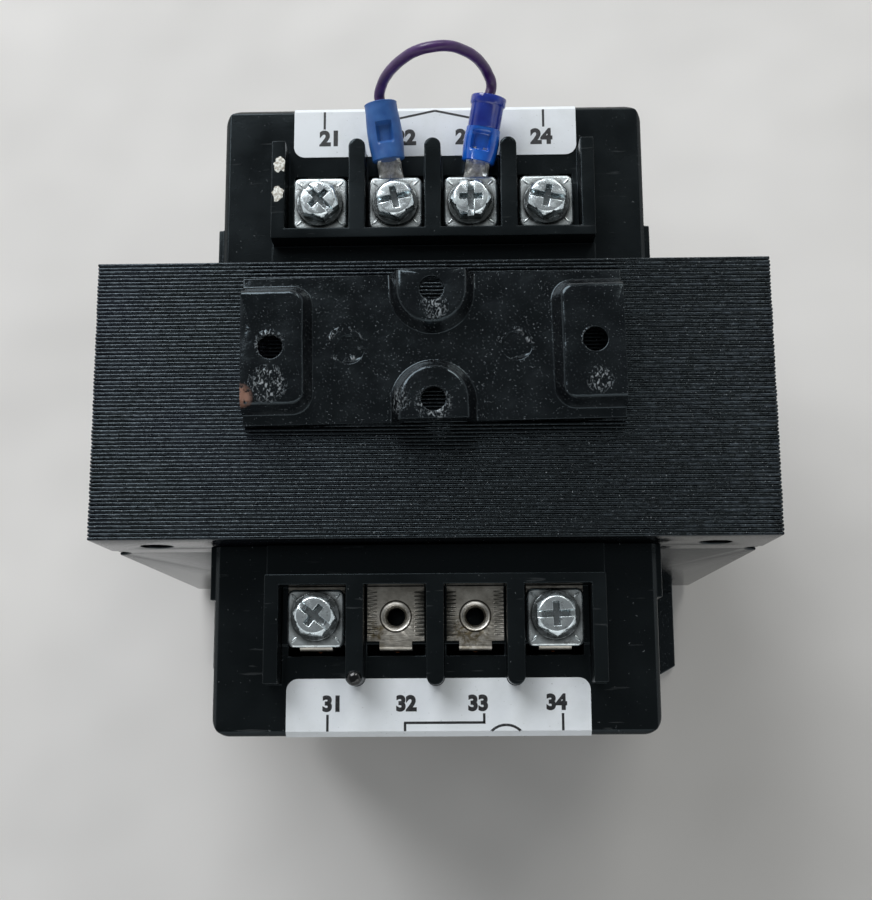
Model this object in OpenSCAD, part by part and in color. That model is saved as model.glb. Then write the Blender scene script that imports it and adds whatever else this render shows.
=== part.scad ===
// Laminated control transformer: a welded EI core that stands on two slotted feet,
// a moulded cover over each end of the coil with four screw terminals on it,
// a fuse block bracket on top and one wire jumper.
// X runs along the terminal rows, Y through the stack, Z up from the underside of the feet.

/* [Core] */
// Width of the centre leg, which sets the whole sheet: 3 wide, 2.5 high, windows half as wide
tongue_w = 38.1; // [37.6:0.1:39.6]
// Length of the stack of sheets, along Y
stack_l = 47.6; // [40:0.1:60]
// Number of sheets in the stack
sheet_count = 74; // [50:1:80]
// Width of the line between two sheets
sheet_gap = 0.12; // [0.05:0.01:0.2]
// Depth of the line between two sheets
sheet_gap_depth = 0.2; // [0.1:0.05:0.4]
// Diameter of the empty hole in each corner of the sheets
corner_hole_d = 5.6; // [4:0.1:7]

/* [Core welds] */
// Radius of the weld trough along each side joint
weld_r = 3.2; // [2:0.1:4]
// Height of the weld above the side of the core
weld_proud = 0.35; // [0.1:0.05:0.45]
// Distance from the trough's axis to the side of the core
weld_axis_out = 0.5; // [0.1:0.1:1]
// Distance from each end of the stack to the weld's end
weld_end_gap = 0.6; // [0:0.1:3]

/* [Mounting feet] */
// Thickness of the feet
foot_t = 2; // [1.2:0.1:4]
// Distance from the core's side to the outer edge of a foot
foot_inset = 3.85; // [2:0.05:6]
// Width of a foot, along X
foot_w = 23.3; // [20:0.1:28]
// How far a foot reaches past the core's face, along Y
foot_reach = 21.9; // [20:0.1:28]
// Length of the foot's cut corner, along X
foot_corner_x = 6.2; // [2:0.1:7]
// Length of the foot's cut corner, along Y
foot_corner_y = 3.4; // [2:0.1:5]
// Distance from a foot's outer edge to the middle of its slots, along X
slot_inset = 8.85; // [8:0.05:10]
// Distance from a foot's end to the middle of its slot, along Y
slot_end_inset = 9.2; // [8:0.1:12]
// Width of a mounting slot
slot_w = 5.2; // [4:0.1:6]
// Length of a mounting slot
slot_l = 10.3; // [8:0.1:11]

/* [Fuse block bracket] */
// Length of the bracket, along X
bracket_l = 63.5; // [62:0.1:70]
// Width of the bracket, along Y
bracket_w = 25.4; // [24.5:0.1:30]
// Thickness of the bracket
bracket_t = 2; // [1:0.1:2.4]
// Distance from the core's centre line to the bracket's, along Y
bracket_shift = 7.9; // [0:0.1:8.5]
// Height of the pressed tabs above the plate
tab_rise = 3; // [2:0.1:4]
// Length of the flat top of an end tab, along X
tab_top_l = 10.2; // [8:0.1:10.5]
// Width of the flat top of an end tab, along Y
tab_top_w = 19; // [15:0.1:20]
// How far a tab's wall leans out over its height
tab_lean = 1.5; // [1:0.1:2]
// Corner radius of the flat top of an end tab
tab_corner_r = 2; // [1.5:0.1:3]
// Radius of the flat top of a half-round tab
round_tab_r = 5.6; // [4.5:0.1:6]
// Spacing of the holes in the end tabs, along X
end_hole_spacing = 53.6; // [52:0.1:56]
// Spacing of the holes in the half-round tabs, along Y
round_hole_spacing = 18.8; // [17.5:0.1:19]
// Diameter of the bracket's holes
bracket_hole_d = 4.1; // [3:0.1:4.5]
// Distance between the two weld dimples
dimple_spacing = 28; // [24:0.1:30]
// Diameter of a weld dimple
dimple_d = 4.9; // [3:0.1:6]
// Depth of a weld dimple
dimple_depth = 0.4; // [0.2:0.1:0.8]

/* [Bobbin and windings] */
// Clearance between the centre leg and the bobbin
bobbin_gap = 0.25; // [0.1:0.05:0.5]
// Wall thickness of the bobbin's tube
bobbin_wall = 1.2; // [0.8:0.1:2]
// Thickness of the bobbin's flanges
flange_t = 1.2; // [0.8:0.1:2]
// Clearance between the bobbin and the top of the windows
bobbin_top_gap = 0.4; // [0.1:0.1:1]
// Thickness of the secondary winding
secondary_build = 5.5; // [4:0.1:6]
// Thickness of the insulation between the windings
insulation_t = 0.5; // [0.2:0.1:0.8]
// Thickness of the primary winding
primary_build = 6.5; // [5:0.1:7]
// Thickness of the wrap around the windings
wrap_t = 0.6; // [0.2:0.1:0.8]
// How far the flanges reach past the wrap, along Y
flange_overhang = 1; // [0.5:0.1:2]
// Space between the windings and the flanges
winding_end_gap = 0.5; // [0.1:0.1:2]
// Diameter of the lead wires
lead_d = 1.2; // [0.6:0.1:1.6]
// Depth below the core's top at which a lead leaves the windings
lead_exit_depth = 27; // [25:0.5:40]

/* [Coil covers] */
// How far a cover reaches out from the core's face
cover_depth = 31.9; // [31.5:0.1:36]
// Distance from the core's top to the cover's, and at the bottom too
cover_drop = 9; // [8:0.1:10]
// Distance from the window's outer edge to the cover's side
cover_side_gap = 0.6; // [0.3:0.1:1]
// Wall thickness of a cover
cover_wall = 2; // [1.4:0.1:2.2]
// Radius of a cover's upright corners
cover_corner_r = 3; // [2.5:0.1:6]
// Chamfer along a cover's top and bottom edges
cover_chamfer = 0.8; // [0.3:0.1:1.4]
// How far the side lip reaches over the window's outer edge
lip_overlap = 0.3; // [0.1:0.1:0.8]
// Length of the side lip, along Y
lip_l = 9.2; // [5:0.1:14]

/* [Terminal block] */
// Distance between neighbouring terminals
terminal_pitch = 13.3; // [13:0.1:14]
// Distance from the core's face to the block's back wall
block_setback = 5.4; // [4:0.1:6]
// Depth of the block, along Y
block_l = 18; // [17.6:0.1:19]
// Height of the block's walls above the cover
block_h = 5.7; // [4:0.1:8]
// Thickness of the back wall
back_wall = 1.8; // [1.2:0.1:2]
// Thickness of the two end walls
end_wall = 2.4; // [1.5:0.1:3]
// Clearance between the end terminals and the end walls
end_gap = 1.15; // [0.8:0.05:1.5]
// Thickness of the barriers between terminals
barrier_t = 2.9; // [2:0.1:3]
// How far the barriers' round tips stand past the end walls
barrier_overhang = 0.3; // [0:0.1:1]
// Height of the bay floors above the cover
bay_floor_h = 0.6; // [0.3:0.1:1]
// Width of the platform between the core and the block
platform_w = 57.2; // [50:0.1:60]
// Height of the platform above the cover
platform_h = 1.2; // [0.5:0.1:2]

/* [Terminals] */
// Distance from the block's back wall to the screw's axis
screw_setback = 6.9; // [6.8:0.05:7.2]
// Width of a terminal strip
strip_w = 9.6; // [8:0.1:9.8]
// Thickness of a terminal strip
strip_t = 1.1; // [0.8:0.1:1.4]
// Distance from the screw's axis to the strip's outer edge
strip_front = 4.1; // [3.5:0.1:4.4]
// Gap between the strip and the back wall
strip_gap = 0.1; // [0.05:0.05:0.3]
// Width of the strip's soldering tab
solder_tab_w = 5.5; // [3:0.1:7]
// Thickness of the soldering tab
solder_tab_t = 0.9; // [0.6:0.1:1]
// Distance from the strip's outer edge to the soldering tab's outer face
solder_tab_out = 1.5; // [1.4:0.1:2.2]
// Length of the soldering tab below the strip's top
solder_tab_drop = 7.2; // [5.5:0.1:10]
// Clearance around the soldering tab in its slot
slot_gap = 0.1; // [0.05:0.05:0.3]
// Open width of the slot in front of the soldering tab
slot_open = 0.8; // [0.4:0.1:1.2]
// Diameter of the tapped hole
tapped_d = 3.5; // [3:0.1:4]
// Chamfer of the tapped hole
tapped_chamfer = 0.6; // [0.2:0.1:0.7]
// Outer diameter of the collar below the strip
collar_d = 5.6; // [5:0.1:6.5]
// Length of the collar below the strip
collar_l = 3; // [1:0.1:5]
// Clearance around the collar in the cover
collar_gap = 0.1; // [0.05:0.05:0.3]
// Distance between the grooves beside the tapped hole
groove_pitch = 0.65; // [0.5:0.05:1]
// Depth of the grooves beside the tapped hole
groove_depth = 0.1; // [0.05:0.05:0.3]
// Length of the grooves beside the tapped hole
groove_l = 1.7; // [1:0.1:2]
// Number of grooves on each side
groove_count = 12; // [4:1:13]

/* [Screws and clamps] */
// Size of the hexagon head across its flats
hex_af = 6.35; // [5.5:0.05:7]
// Diameter of the screw's flange
screw_flange_d = 8.1; // [7.9:0.1:9]
// Thickness of the screw's flange
screw_flange_t = 0.8; // [0.4:0.1:1.2]
// Diameter of the round top of the head, inside its chamfer
head_top_d = 5.7; // [5:0.1:6.2]
// Height of the head with its flange
screw_head_h = 3.7; // [2.8:0.1:5]
// Length of the shank below the clamp
shank_l = 9; // [6:0.1:12]
// Clearance around the shank in the tapped hole
shank_gap = 0.05; // [0.02:0.01:0.15]
// Width of the driver slot
driver_slot_w = 1.1; // [0.8:0.1:1.4]
// Depth of the driver slot
driver_slot_depth = 1.3; // [0.6:0.1:1.6]
// Length of the cross recess
cross_l = 4; // [3:0.1:4.6]
// Depth of the cross recess
cross_depth = 2.1; // [1.4:0.1:2.4]
// Size of the square clamp
clamp_w = 9.6; // [9:0.1:9.8]
// Thickness of the clamp
clamp_t = 0.8; // [0.5:0.1:1.2]
// Space under the clamp, which a lug fills
clamp_space = 0.5; // [0.3:0.05:0.8]
// Width of the clamp's two bent edges
clamp_edge = 0.9; // [0.5:0.1:1]
// Diameter of the clamp's hole
clamp_hole_d = 4.3; // [3.9:0.1:5]
// Corner radius of the clamp
clamp_corner_r = 1.2; // [0.5:0.1:2]
// Distance from the screw's axis to the clamp's middle, outwards
clamp_shift = 0.3; // [0:0.1:0.4]

/* [Jumper] */
// Outer diameter of the lug sleeves
sleeve_d = 5.7; // [5.2:0.1:6]
// Length of the left lug sleeve
left_sleeve_l = 10.2; // [9:0.1:12]
// Length of the right lug sleeve
right_sleeve_l = 11.7; // [9:0.1:12]
// Diameter of the lip at the right sleeve's mouth
sleeve_lip_d = 6.3; // [6:0.1:6.8]
// Length of the lip at the right sleeve's mouth
sleeve_lip_l = 1.6; // [1:0.1:2.5]
// Distance from the left screw's axis to its sleeve
left_sleeve_setback = 7.9; // [7.6:0.1:8.6]
// Distance from the right screw's axis to its sleeve
right_sleeve_setback = 7.3; // [7.2:0.1:8.6]
// Turn of the left lug away from the Y direction
left_lug_turn = 8; // [4:0.5:10]
// Turn of the right lug away from the Y direction
right_lug_turn = 10.5; // [6:0.5:12]
// Rise of the sleeves above the level
sleeve_rise = 12; // [8:0.5:16]
// Outer diameter of a lug's ring
lug_ring_d = 7; // [6:0.1:7.4]
// Diameter of the lug's hole
lug_hole_d = 3.9; // [3.7:0.1:4.4]
// Width of the lug's neck
lug_neck_w = 4.2; // [3:0.1:4.6]
// Gap between the neck and the sleeve
neck_gap = 0.3; // [0.1:0.1:0.8]
// Outer diameter of the lug's barrel
barrel_d = 3.3; // [2.8:0.1:3.6]
// Length of the barrel that stands out of its sleeve, towards the ring
barrel_bare = 1; // [0.6:0.1:1.1]
// Length of the barrel in the sleeve
barrel_l = 5.4; // [4:0.1:6]
// Diameter of the jumper wire
wire_d = 1.87; // [1.5:0.01:2.1]
// Clearance around the wire in the sleeve
wire_gap = 0.1; // [0.05:0.05:0.3]

/* [Labels] */
// Width of a label, along X
label_w = 50.8; // [44:0.1:51]
// Distance from the cover's middle to the label's, along X
label_shift = 0.35; // [0:0.05:0.4]
// Thickness of a label
label_t = 0.15; // [0.1:0.01:0.3]
// Distance from the label's inner edge to the cover's outer face
label_top_l = 9.4; // [9.2:0.1:9.6]
// Distance from the cover's top to the label's lower edge
label_drop = 36; // [20:0.5:60]
// Corner radius of a label
label_corner_r = 2; // [1:0.1:4]
// Clearance between a label and the barriers
label_gap = 0.1; // [0.05:0.05:0.3]

/* [Hidden] */
$fn = 48;
// How far a cut runs past what it cuts
past = 0.5;

// Core
core_w = 3 * tongue_w;
core_h = 2.5 * tongue_w;
window_w = tongue_w / 2;
window_h = 1.5 * tongue_w;
core_bottom = foot_t;
core_top = core_bottom + core_h;
joint_z = core_top - tongue_w / 2;
window_bottom = joint_z - window_h;
core_face = stack_l / 2;
sheet_pitch = stack_l / sheet_count;
hole_inset = tongue_w / 4;

// Bobbin and windings
bobbin_bottom = window_bottom;
bobbin_top = joint_z - bobbin_top_gap;
tube_x = tongue_w / 2 + bobbin_gap + bobbin_wall;
tube_y = core_face + bobbin_gap + bobbin_wall;
coil_build = secondary_build + insulation_t + primary_build + wrap_t;
wrap_y = tube_y + coil_build;
winding_bottom = bobbin_bottom + flange_t + winding_end_gap;
winding_top = bobbin_top - flange_t - winding_end_gap;

// Covers
cover_x = tongue_w - cover_side_gap;
cover_y = core_face + cover_depth;
cover_top = core_top - cover_drop;
cover_bottom = core_bottom + cover_drop;
lip_x = tongue_w + lip_overlap;
flange_x = cover_x - cover_wall - bobbin_gap;

// Terminal blocks
block_back = core_face + block_setback;
block_front = block_back + block_l;
block_x = 1.5 * terminal_pitch + strip_w / 2 + end_gap + end_wall;
screw_y = block_back + screw_setback;
bay_floor = cover_top + bay_floor_h;
strip_top = bay_floor + strip_t;
strip_back = block_back + back_wall + strip_gap;
strip_end = screw_y + strip_front;
solder_tab_y = strip_end + solder_tab_out;
solder_tab_end = strip_top - solder_tab_drop;
slot_back = solder_tab_y - solder_tab_t - slot_gap;
slot_front = solder_tab_y + slot_open;
clamp_bottom = strip_top + clamp_space;
clamp_top = clamp_bottom + clamp_t;
shank_d = tapped_d - 2 * shank_gap;
// How far each tightened screw is turned, from the left
primary_turns = [-46, 12, 90, -11];
secondary_turns = [38, -2];
label_inner_y = cover_y - label_top_l;

function terminal_x(n) = (n - 2.5) * terminal_pitch;

// Jumper: a lug's direction, the middle of its barrel's mouth and a point s along its axis
left_dir = lug_dir(left_lug_turn);
right_dir = lug_dir(-right_lug_turn);
left_seat = sleeve_seat(2, left_lug_turn, left_sleeve_setback);
right_seat = sleeve_seat(3, -right_lug_turn, right_sleeve_setback);
jumper_route = concat(
    [left_seat + left_dir * barrel_l, left_seat + left_dir * left_sleeve_l],
    [
        [-9.3, 55, 94.7], [-8.7, 56.3, 96.5], [-7.6, 56.8, 99.3], [-6.2, 56.9, 102.2],
        [-4.7, 56.9, 104.7], [-2.4, 56.9, 107.4], [0.3, 57, 108.6], [3, 57.6, 107.7],
        [5.6, 58.2, 104.9], [7.3, 58.4, 102.5], [8.7, 58.4, 99.6], [9.8, 57.9, 96.9],
        [10.5, 56.6, 95.1]
    ],
    [right_seat + right_dir * right_sleeve_l, right_seat + right_dir * barrel_l]
);
wire_sides = 8;

function lug_dir(turn) = [-sin(turn) * cos(sleeve_rise), cos(turn) * cos(sleeve_rise), sin(sleeve_rise)];
function sleeve_seat(n, turn, setback) = [
    terminal_x(n) - setback * sin(turn),
    screw_y + setback * cos(turn),
    clamp_bottom + barrel_d / 2
];

// A rectangle with round corners, centred on the origin
module round_rect(w, l, r) {
    square([w - 2 * r, l], center = true);
    square([w, l - 2 * r], center = true);
    for (x = [-1, 1], y = [-1, 1])
        translate([x * (w / 2 - r), y * (l / 2 - r)]) circle(r);
}

// A bar along X of the given profile, whose first axis is Y and second is Z
module bar_along_x(l) {
    rotate([90, 0, 90]) linear_extrude(l, center = true) children();
}

// A bar along Y of the given profile, whose first axis is X and second is Z
module bar_along_y(l) {
    rotate([90, 0, 0]) linear_extrude(l, center = true) children();
}

module on_both_sides_x() {
    children();
    mirror([1, 0, 0]) children();
}

module on_both_sides_y() {
    children();
    mirror([0, 1, 0]) children();
}

// The outline of the stack from one height to another, with a notch between each two sheets.
// Its first axis runs through the stack.
module stack_outline(low, high, notch_low) {
    polygon(concat(
        [[-core_face, low], [-core_face, high]], notches(high, 1),
        [[core_face, high], [core_face, low]], notch_low ? notches(low, -1) : []
    ));
}

function notches(height, side) = [
    for (i = side > 0 ? [1:sheet_count - 1] : [sheet_count - 1:-1:1])
        for (corner = [[-1, 0], [-1, -1], [1, -1], [1, 0]])
            [
                i * sheet_pitch - core_face + side * corner[0] * sheet_gap / 2,
                height + side * corner[1] * sheet_gap_depth
            ]
];

// Everything inside the notched sides of the stack
module stack_sides() {
    linear_extrude(core_top + past) mirror([1, -1, 0]) stack_outline(-core_w / 2, core_w / 2, true);
}

module corner_holes(z) {
    for (x = [-1, 1])
        translate([x * (core_w / 2 - hole_inset), 0, z])
            rotate([90, 0, 0]) cylinder(h = stack_l + 2 * past, d = corner_hole_d, center = true);
}

module weld_troughs() {
    on_both_sides_x()
        bar_along_y(stack_l + 2 * past)
            translate([core_w / 2 + weld_axis_out, joint_z]) circle(weld_r);
}

module i_laminations() {
    color("#2a2b2d") difference() {
        intersection() {
            bar_along_x(core_w) stack_outline(joint_z, core_top, false);
            stack_sides();
        }
        corner_holes(core_top - hole_inset);
        weld_troughs();
    }
}

module e_laminations() {
    half = core_w / 2;
    leg = tongue_w / 2;
    color("#2a2b2d") difference() {
        intersection() {
            bar_along_y(stack_l + 2 * past) polygon([
                [-half, core_bottom], [half, core_bottom], [half, joint_z], [tongue_w, joint_z],
                [tongue_w, window_bottom], [leg, window_bottom], [leg, joint_z],
                [-leg, joint_z], [-leg, window_bottom], [-tongue_w, window_bottom],
                [-tongue_w, joint_z], [-half, joint_z]
            ]);
            bar_along_x(core_w)
                translate([0, core_bottom + joint_z]) mirror([0, 1])
                    stack_outline(core_bottom, joint_z, false);
            stack_sides();
        }
        corner_holes(core_bottom + hole_inset);
        weld_troughs();
    }
}

module core_weld() {
    color("#4a4846") bar_along_y(stack_l - 2 * weld_end_gap) difference() {
        translate([core_w / 2 + weld_axis_out, joint_z]) circle(weld_r);
        translate([core_w / 2 + weld_proud, joint_z - weld_r]) square(2 * weld_r);
    }
}

module mounting_foot() {
    outer = core_w / 2 - foot_inset;
    inner = outer - foot_w;
    end = core_face + foot_reach;
    color("#34353a") linear_extrude(foot_t) difference() {
        polygon([
            [inner, -end], [outer - foot_corner_x, -end], [outer, foot_corner_y - end],
            [outer, end - foot_corner_y], [outer - foot_corner_x, end], [inner, end]
        ]);
        for (y = [-1, 1]) translate([outer - slot_inset, y * (end - slot_end_inset)]) {
            square([slot_l - slot_w, slot_w], center = true);
            for (x = [-1, 1]) translate([x * (slot_l - slot_w) / 2, 0]) circle(d = slot_w);
        }
    }
}

// Height of the pressed tabs' flat tops above the core
tab_z = bracket_t + tab_rise;

// Radius of a tab's corner at a height, for the outside or for the hollow below it
function tab_r(r, z, inset) = r + (tab_z - z) * tab_lean / tab_rise - inset;

// A pressed tab at the bracket's right end, between two heights
module end_tab(low, high, inset) {
    x = bracket_l / 2 - tab_top_l + tab_corner_r;
    y = tab_top_w / 2 - tab_corner_r;
    r_low = tab_r(tab_corner_r, low, inset);
    r_high = tab_r(tab_corner_r, high, inset);
    for (side = [-1, 1])
        translate([x, side * y, low]) cylinder(h = high - low, r1 = r_low, r2 = r_high);
    bar_along_y(2 * y)
        polygon([[x - r_low, low], [bracket_l / 2, low], [bracket_l / 2, high], [x - r_high, high]]);
    translate([(x + bracket_l / 2) / 2, 0, 0]) bar_along_x(bracket_l / 2 - x)
        polygon([[-y - r_low, low], [y + r_low, low], [y + r_high, high], [-y - r_high, high]]);
}

// A half-round pressed tab at the bracket's far edge, between two heights
module round_tab(low, high, inset) {
    y = round_hole_spacing / 2;
    r_low = tab_r(round_tab_r, low, inset);
    r_high = tab_r(round_tab_r, high, inset);
    intersection() {
        translate([0, y, low]) cylinder(h = high - low, r1 = r_low, r2 = r_high);
        translate([-r_low, 0, low]) cube([2 * r_low, bracket_w / 2, high - low]);
    }
    translate([0, (y + bracket_w / 2) / 2, 0]) bar_along_y(bracket_w / 2 - y)
        polygon([[-r_low, low], [r_low, low], [r_high, high], [-r_high, high]]);
}

module pressed_tabs(low, high, inset) {
    on_both_sides_x() end_tab(low, high, inset);
    on_both_sides_y() round_tab(low, high, inset);
}

module fuse_block_bracket() {
    color("#3a3c40") translate([0, bracket_shift, core_top]) difference() {
        union() {
            translate([-bracket_l / 2, -bracket_w / 2, 0]) cube([bracket_l, bracket_w, bracket_t]);
            pressed_tabs(bracket_t, tab_z, 0);
        }
        pressed_tabs(0, tab_rise, bracket_t);
        for (x = [-1, 1]) {
            translate([x * end_hole_spacing / 2, 0, 0]) cylinder(h = tab_z + past, d = bracket_hole_d);
            translate([x * dimple_spacing / 2, 0, bracket_t - dimple_depth])
                cylinder(h = dimple_depth + past, d = dimple_d);
        }
        for (y = [-1, 1])
            translate([0, y * round_hole_spacing / 2, 0]) cylinder(h = tab_z + past, d = bracket_hole_d);
    }
}

module coil_bobbin() {
    color("#2f3133") difference() {
        union() {
            translate([0, 0, bobbin_bottom])
                linear_extrude(bobbin_top - bobbin_bottom) round_rect(2 * tube_x, 2 * tube_y, bobbin_wall);
            for (z = [bobbin_bottom, bobbin_top - flange_t])
                translate([0, 0, z])
                    linear_extrude(flange_t)
                        square([2 * flange_x, 2 * (wrap_y + flange_overhang)], center = true);
        }
        translate([0, 0, bobbin_bottom - past]) linear_extrude(bobbin_top - bobbin_bottom + 2 * past)
            square([tongue_w + 2 * bobbin_gap, stack_l + 2 * bobbin_gap], center = true);
    }
}

// A winding or a wrap that starts at a distance from the bobbin's tube
module coil_layer(start, build) {
    translate([0, 0, winding_bottom]) linear_extrude(winding_top - winding_bottom) difference() {
        round_rect(2 * (tube_x + start + build), 2 * (tube_y + start + build), bobbin_wall + start + build);
        round_rect(2 * (tube_x + start), 2 * (tube_y + start), bobbin_wall + start);
    }
}

module secondary_winding() {
    color("#8a4a22") coil_layer(0, secondary_build);
}

module winding_insulation() {
    color("#d8c48f") coil_layer(secondary_build, insulation_t);
}

module primary_winding() {
    color("#9a5526") coil_layer(secondary_build + insulation_t, primary_build);
}

module coil_wrap() {
    color("#3b3a36") coil_layer(secondary_build + insulation_t + primary_build, wrap_t);
}

// Four wires, each from the wrap's face up to the end of a soldering tab
module lead_wires() {
    y = solder_tab_y - solder_tab_t / 2;
    z = core_top - lead_exit_depth;
    color("#9a5526") for (n = [1:4]) translate([terminal_x(n), 0, 0]) {
        translate([0, y, z]) cylinder(h = solder_tab_end - z, d = lead_d);
        translate([0, y, z]) sphere(d = lead_d);
        translate([0, wrap_y, z]) rotate([-90, 0, 0]) cylinder(h = y - wrap_y, d = lead_d);
    }
}

module primary_lead_wires() {
    lead_wires();
}

module secondary_lead_wires() {
    mirror([0, 1, 0]) lead_wires();
}

// A cover's plan from the core's face outwards, with a wall's thickness taken off
module cover_plan(wall) {
    x = cover_x - wall;
    y = cover_y - wall;
    r = cover_corner_r - wall;
    translate([-x, core_face]) square([2 * x, y - r - core_face]);
    translate([-x + r, core_face]) square([2 * (x - r), y - core_face]);
    for (side = [-1, 1]) translate([side * (x - r), y - r]) circle(r);
}

module cover_body() {
    c = cover_chamfer;
    intersection() {
        translate([0, 0, cover_bottom]) linear_extrude(cover_top - cover_bottom) cover_plan(0);
        bar_along_y(2 * cover_y) polygon([
            [c - cover_x, cover_bottom], [cover_x - c, cover_bottom], [cover_x, cover_bottom + c],
            [cover_x, cover_top - c], [cover_x - c, cover_top], [c - cover_x, cover_top],
            [-cover_x, cover_top - c], [-cover_x, cover_bottom + c]
        ]);
        bar_along_x(2 * cover_x) polygon([
            [0, cover_bottom], [cover_y - c, cover_bottom], [cover_y, cover_bottom + c],
            [cover_y, cover_top - c], [cover_y - c, cover_top], [0, cover_top]
        ]);
    }
}

module side_lips() {
    on_both_sides_x()
        translate([cover_x - cover_wall, core_face, cover_bottom + cover_chamfer])
            cube([lip_x - cover_x + cover_wall, lip_l, cover_top - cover_bottom - 2 * cover_chamfer]);
}

// The back wall, end walls and barriers around the four bays
module block_walls() {
    tip = block_front + barrier_overhang - barrier_t / 2;
    translate([0, 0, cover_top]) linear_extrude(block_h) {
        translate([-block_x, block_back]) square([2 * block_x, back_wall]);
        for (side = [-1, 1])
            translate([side * (block_x - end_wall / 2) - end_wall / 2, block_back])
                square([end_wall, block_l]);
        for (i = [-1:1]) translate([i * terminal_pitch, 0]) {
            translate([-barrier_t / 2, block_back]) square([barrier_t, tip - block_back]);
            translate([0, tip]) circle(d = barrier_t);
        }
    }
}

// A cover with its terminal block, on the far side
module cover() {
    color("#1d1e20") difference() {
        union() {
            cover_body();
            side_lips();
            block_walls();
            translate([-platform_w / 2, core_face, cover_top]) cube([platform_w, block_setback, platform_h]);
            translate([-block_x, block_back, cover_top])
                cube([2 * block_x, slot_back - block_back, bay_floor_h]);
        }
        translate([0, 0, cover_bottom + cover_wall])
            linear_extrude(cover_top - cover_bottom - 2 * cover_wall) cover_plan(cover_wall);
        for (n = [1:4]) translate([terminal_x(n), 0, cover_top - cover_wall - past]) {
            translate([-strip_w / 2, slot_back, 0])
                cube([strip_w, slot_front - slot_back, cover_wall + bay_floor_h + 2 * past]);
            translate([0, screw_y, 0])
                cylinder(h = cover_wall + bay_floor_h + 2 * past, d = collar_d + 2 * collar_gap);
        }
    }
}

module primary_cover() {
    cover();
}

module secondary_cover() {
    mirror([0, 1, 0]) cover();
}

// The strip's end, bent down through the slot; its first axis is Y and its second is Z
module solder_tab_profile() {
    t = solder_tab_t;
    translate([strip_end - t, strip_top - t]) square([solder_tab_y - strip_end, t]);
    translate([solder_tab_y - t, solder_tab_end]) square([t, strip_top - solder_tab_end - t]);
    intersection() {
        translate([solder_tab_y - t, strip_top - t]) circle(t);
        translate([solder_tab_y - t, strip_top - t]) square(t);
    }
}

// The nth terminal from the left, on the far side
module terminal(n) {
    color("#b9b4a4") translate([terminal_x(n), 0, 0]) difference() {
        union() {
            translate([-strip_w / 2, strip_back, bay_floor]) cube([strip_w, strip_end - strip_back, strip_t]);
            bar_along_x(solder_tab_w) solder_tab_profile();
            translate([0, screw_y, bay_floor - collar_l]) cylinder(h = collar_l, d = collar_d);
        }
        translate([0, screw_y, bay_floor - collar_l - past])
            cylinder(h = collar_l + strip_t + 2 * past, d = tapped_d);
        translate([0, screw_y, strip_top - tapped_chamfer])
            cylinder(h = tapped_chamfer, d1 = tapped_d, d2 = tapped_d + 2 * tapped_chamfer);
        for (i = [0:groove_count - 1]) on_both_sides_x()
            translate([
                strip_w / 2 - groove_l,
                (strip_back + strip_end) / 2 + (i - groove_count / 2 + 0.25) * groove_pitch,
                strip_top - groove_depth
            ]) cube([groove_l + past, groove_pitch / 2, groove_depth + past]);
    }
}

// The nth square clamp from the left, on the far side
module clamp(n) {
    color("#c3c6c9") translate([terminal_x(n), screw_y, 0]) difference() {
        translate([0, clamp_shift, 0]) {
            translate([0, 0, clamp_bottom])
                linear_extrude(clamp_t) round_rect(clamp_w, clamp_w, clamp_corner_r);
            translate([0, 0, strip_top]) linear_extrude(clamp_space) difference() {
                round_rect(clamp_w, clamp_w, clamp_corner_r);
                square([clamp_w - 2 * clamp_edge, clamp_w + 2 * past], center = true);
            }
        }
        translate([0, 0, strip_top - past]) cylinder(h = clamp_t + clamp_space + 2 * past, d = clamp_hole_d);
    }
}

// The nth screw from the left, on the far side, with its driver slot turned from the X direction
module screw(n, turn) {
    head_top = clamp_top + screw_head_h;
    chamfer_r = head_top_d / 2;
    color("#aeb9bd") translate([terminal_x(n), screw_y, 0]) rotate([0, 0, turn]) difference() {
        union() {
            translate([0, 0, clamp_top]) cylinder(h = screw_flange_t, d = screw_flange_d);
            intersection() {
                translate([0, 0, clamp_top]) rotate([0, 0, 30])
                    cylinder(h = screw_head_h, d = hex_af / cos(30), $fn = 6);
                translate([0, 0, clamp_top])
                    cylinder(h = screw_head_h, r1 = chamfer_r + screw_head_h, r2 = chamfer_r);
            }
            translate([0, 0, clamp_top - shank_l]) cylinder(h = shank_l, d = shank_d);
        }
        translate([-hex_af, -driver_slot_w / 2, head_top - driver_slot_depth])
            cube([2 * hex_af, driver_slot_w, driver_slot_depth + past]);
        translate([-cross_l / 2, -driver_slot_w / 2, head_top - cross_depth])
            cube([cross_l, driver_slot_w, cross_depth + past]);
        translate([-driver_slot_w / 2, -cross_l / 2, head_top - cross_depth])
            cube([driver_slot_w, cross_l, cross_depth + past]);
    }
}

module jumper_lug(n, turn, setback) {
    color("#c9c6bd") difference() {
        union() {
            translate([terminal_x(n), screw_y, strip_top]) rotate([0, 0, turn]) {
                cylinder(h = clamp_space, d = lug_ring_d);
                translate([-lug_neck_w / 2, 0, 0]) cube([lug_neck_w, setback - neck_gap, clamp_space]);
            }
            translate(sleeve_seat(n, turn, setback)) rotate([sleeve_rise - 90, 0, turn])
                translate([0, 0, -barrel_bare]) cylinder(h = barrel_l + barrel_bare, d = barrel_d);
        }
        translate([terminal_x(n), screw_y, strip_top - past])
            cylinder(h = clamp_space + 2 * past, d = lug_hole_d);
    }
}

module jumper_lug_left() {
    jumper_lug(2, left_lug_turn, left_sleeve_setback);
}

module jumper_lug_right() {
    jumper_lug(3, -right_lug_turn, right_sleeve_setback);
}

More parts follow.
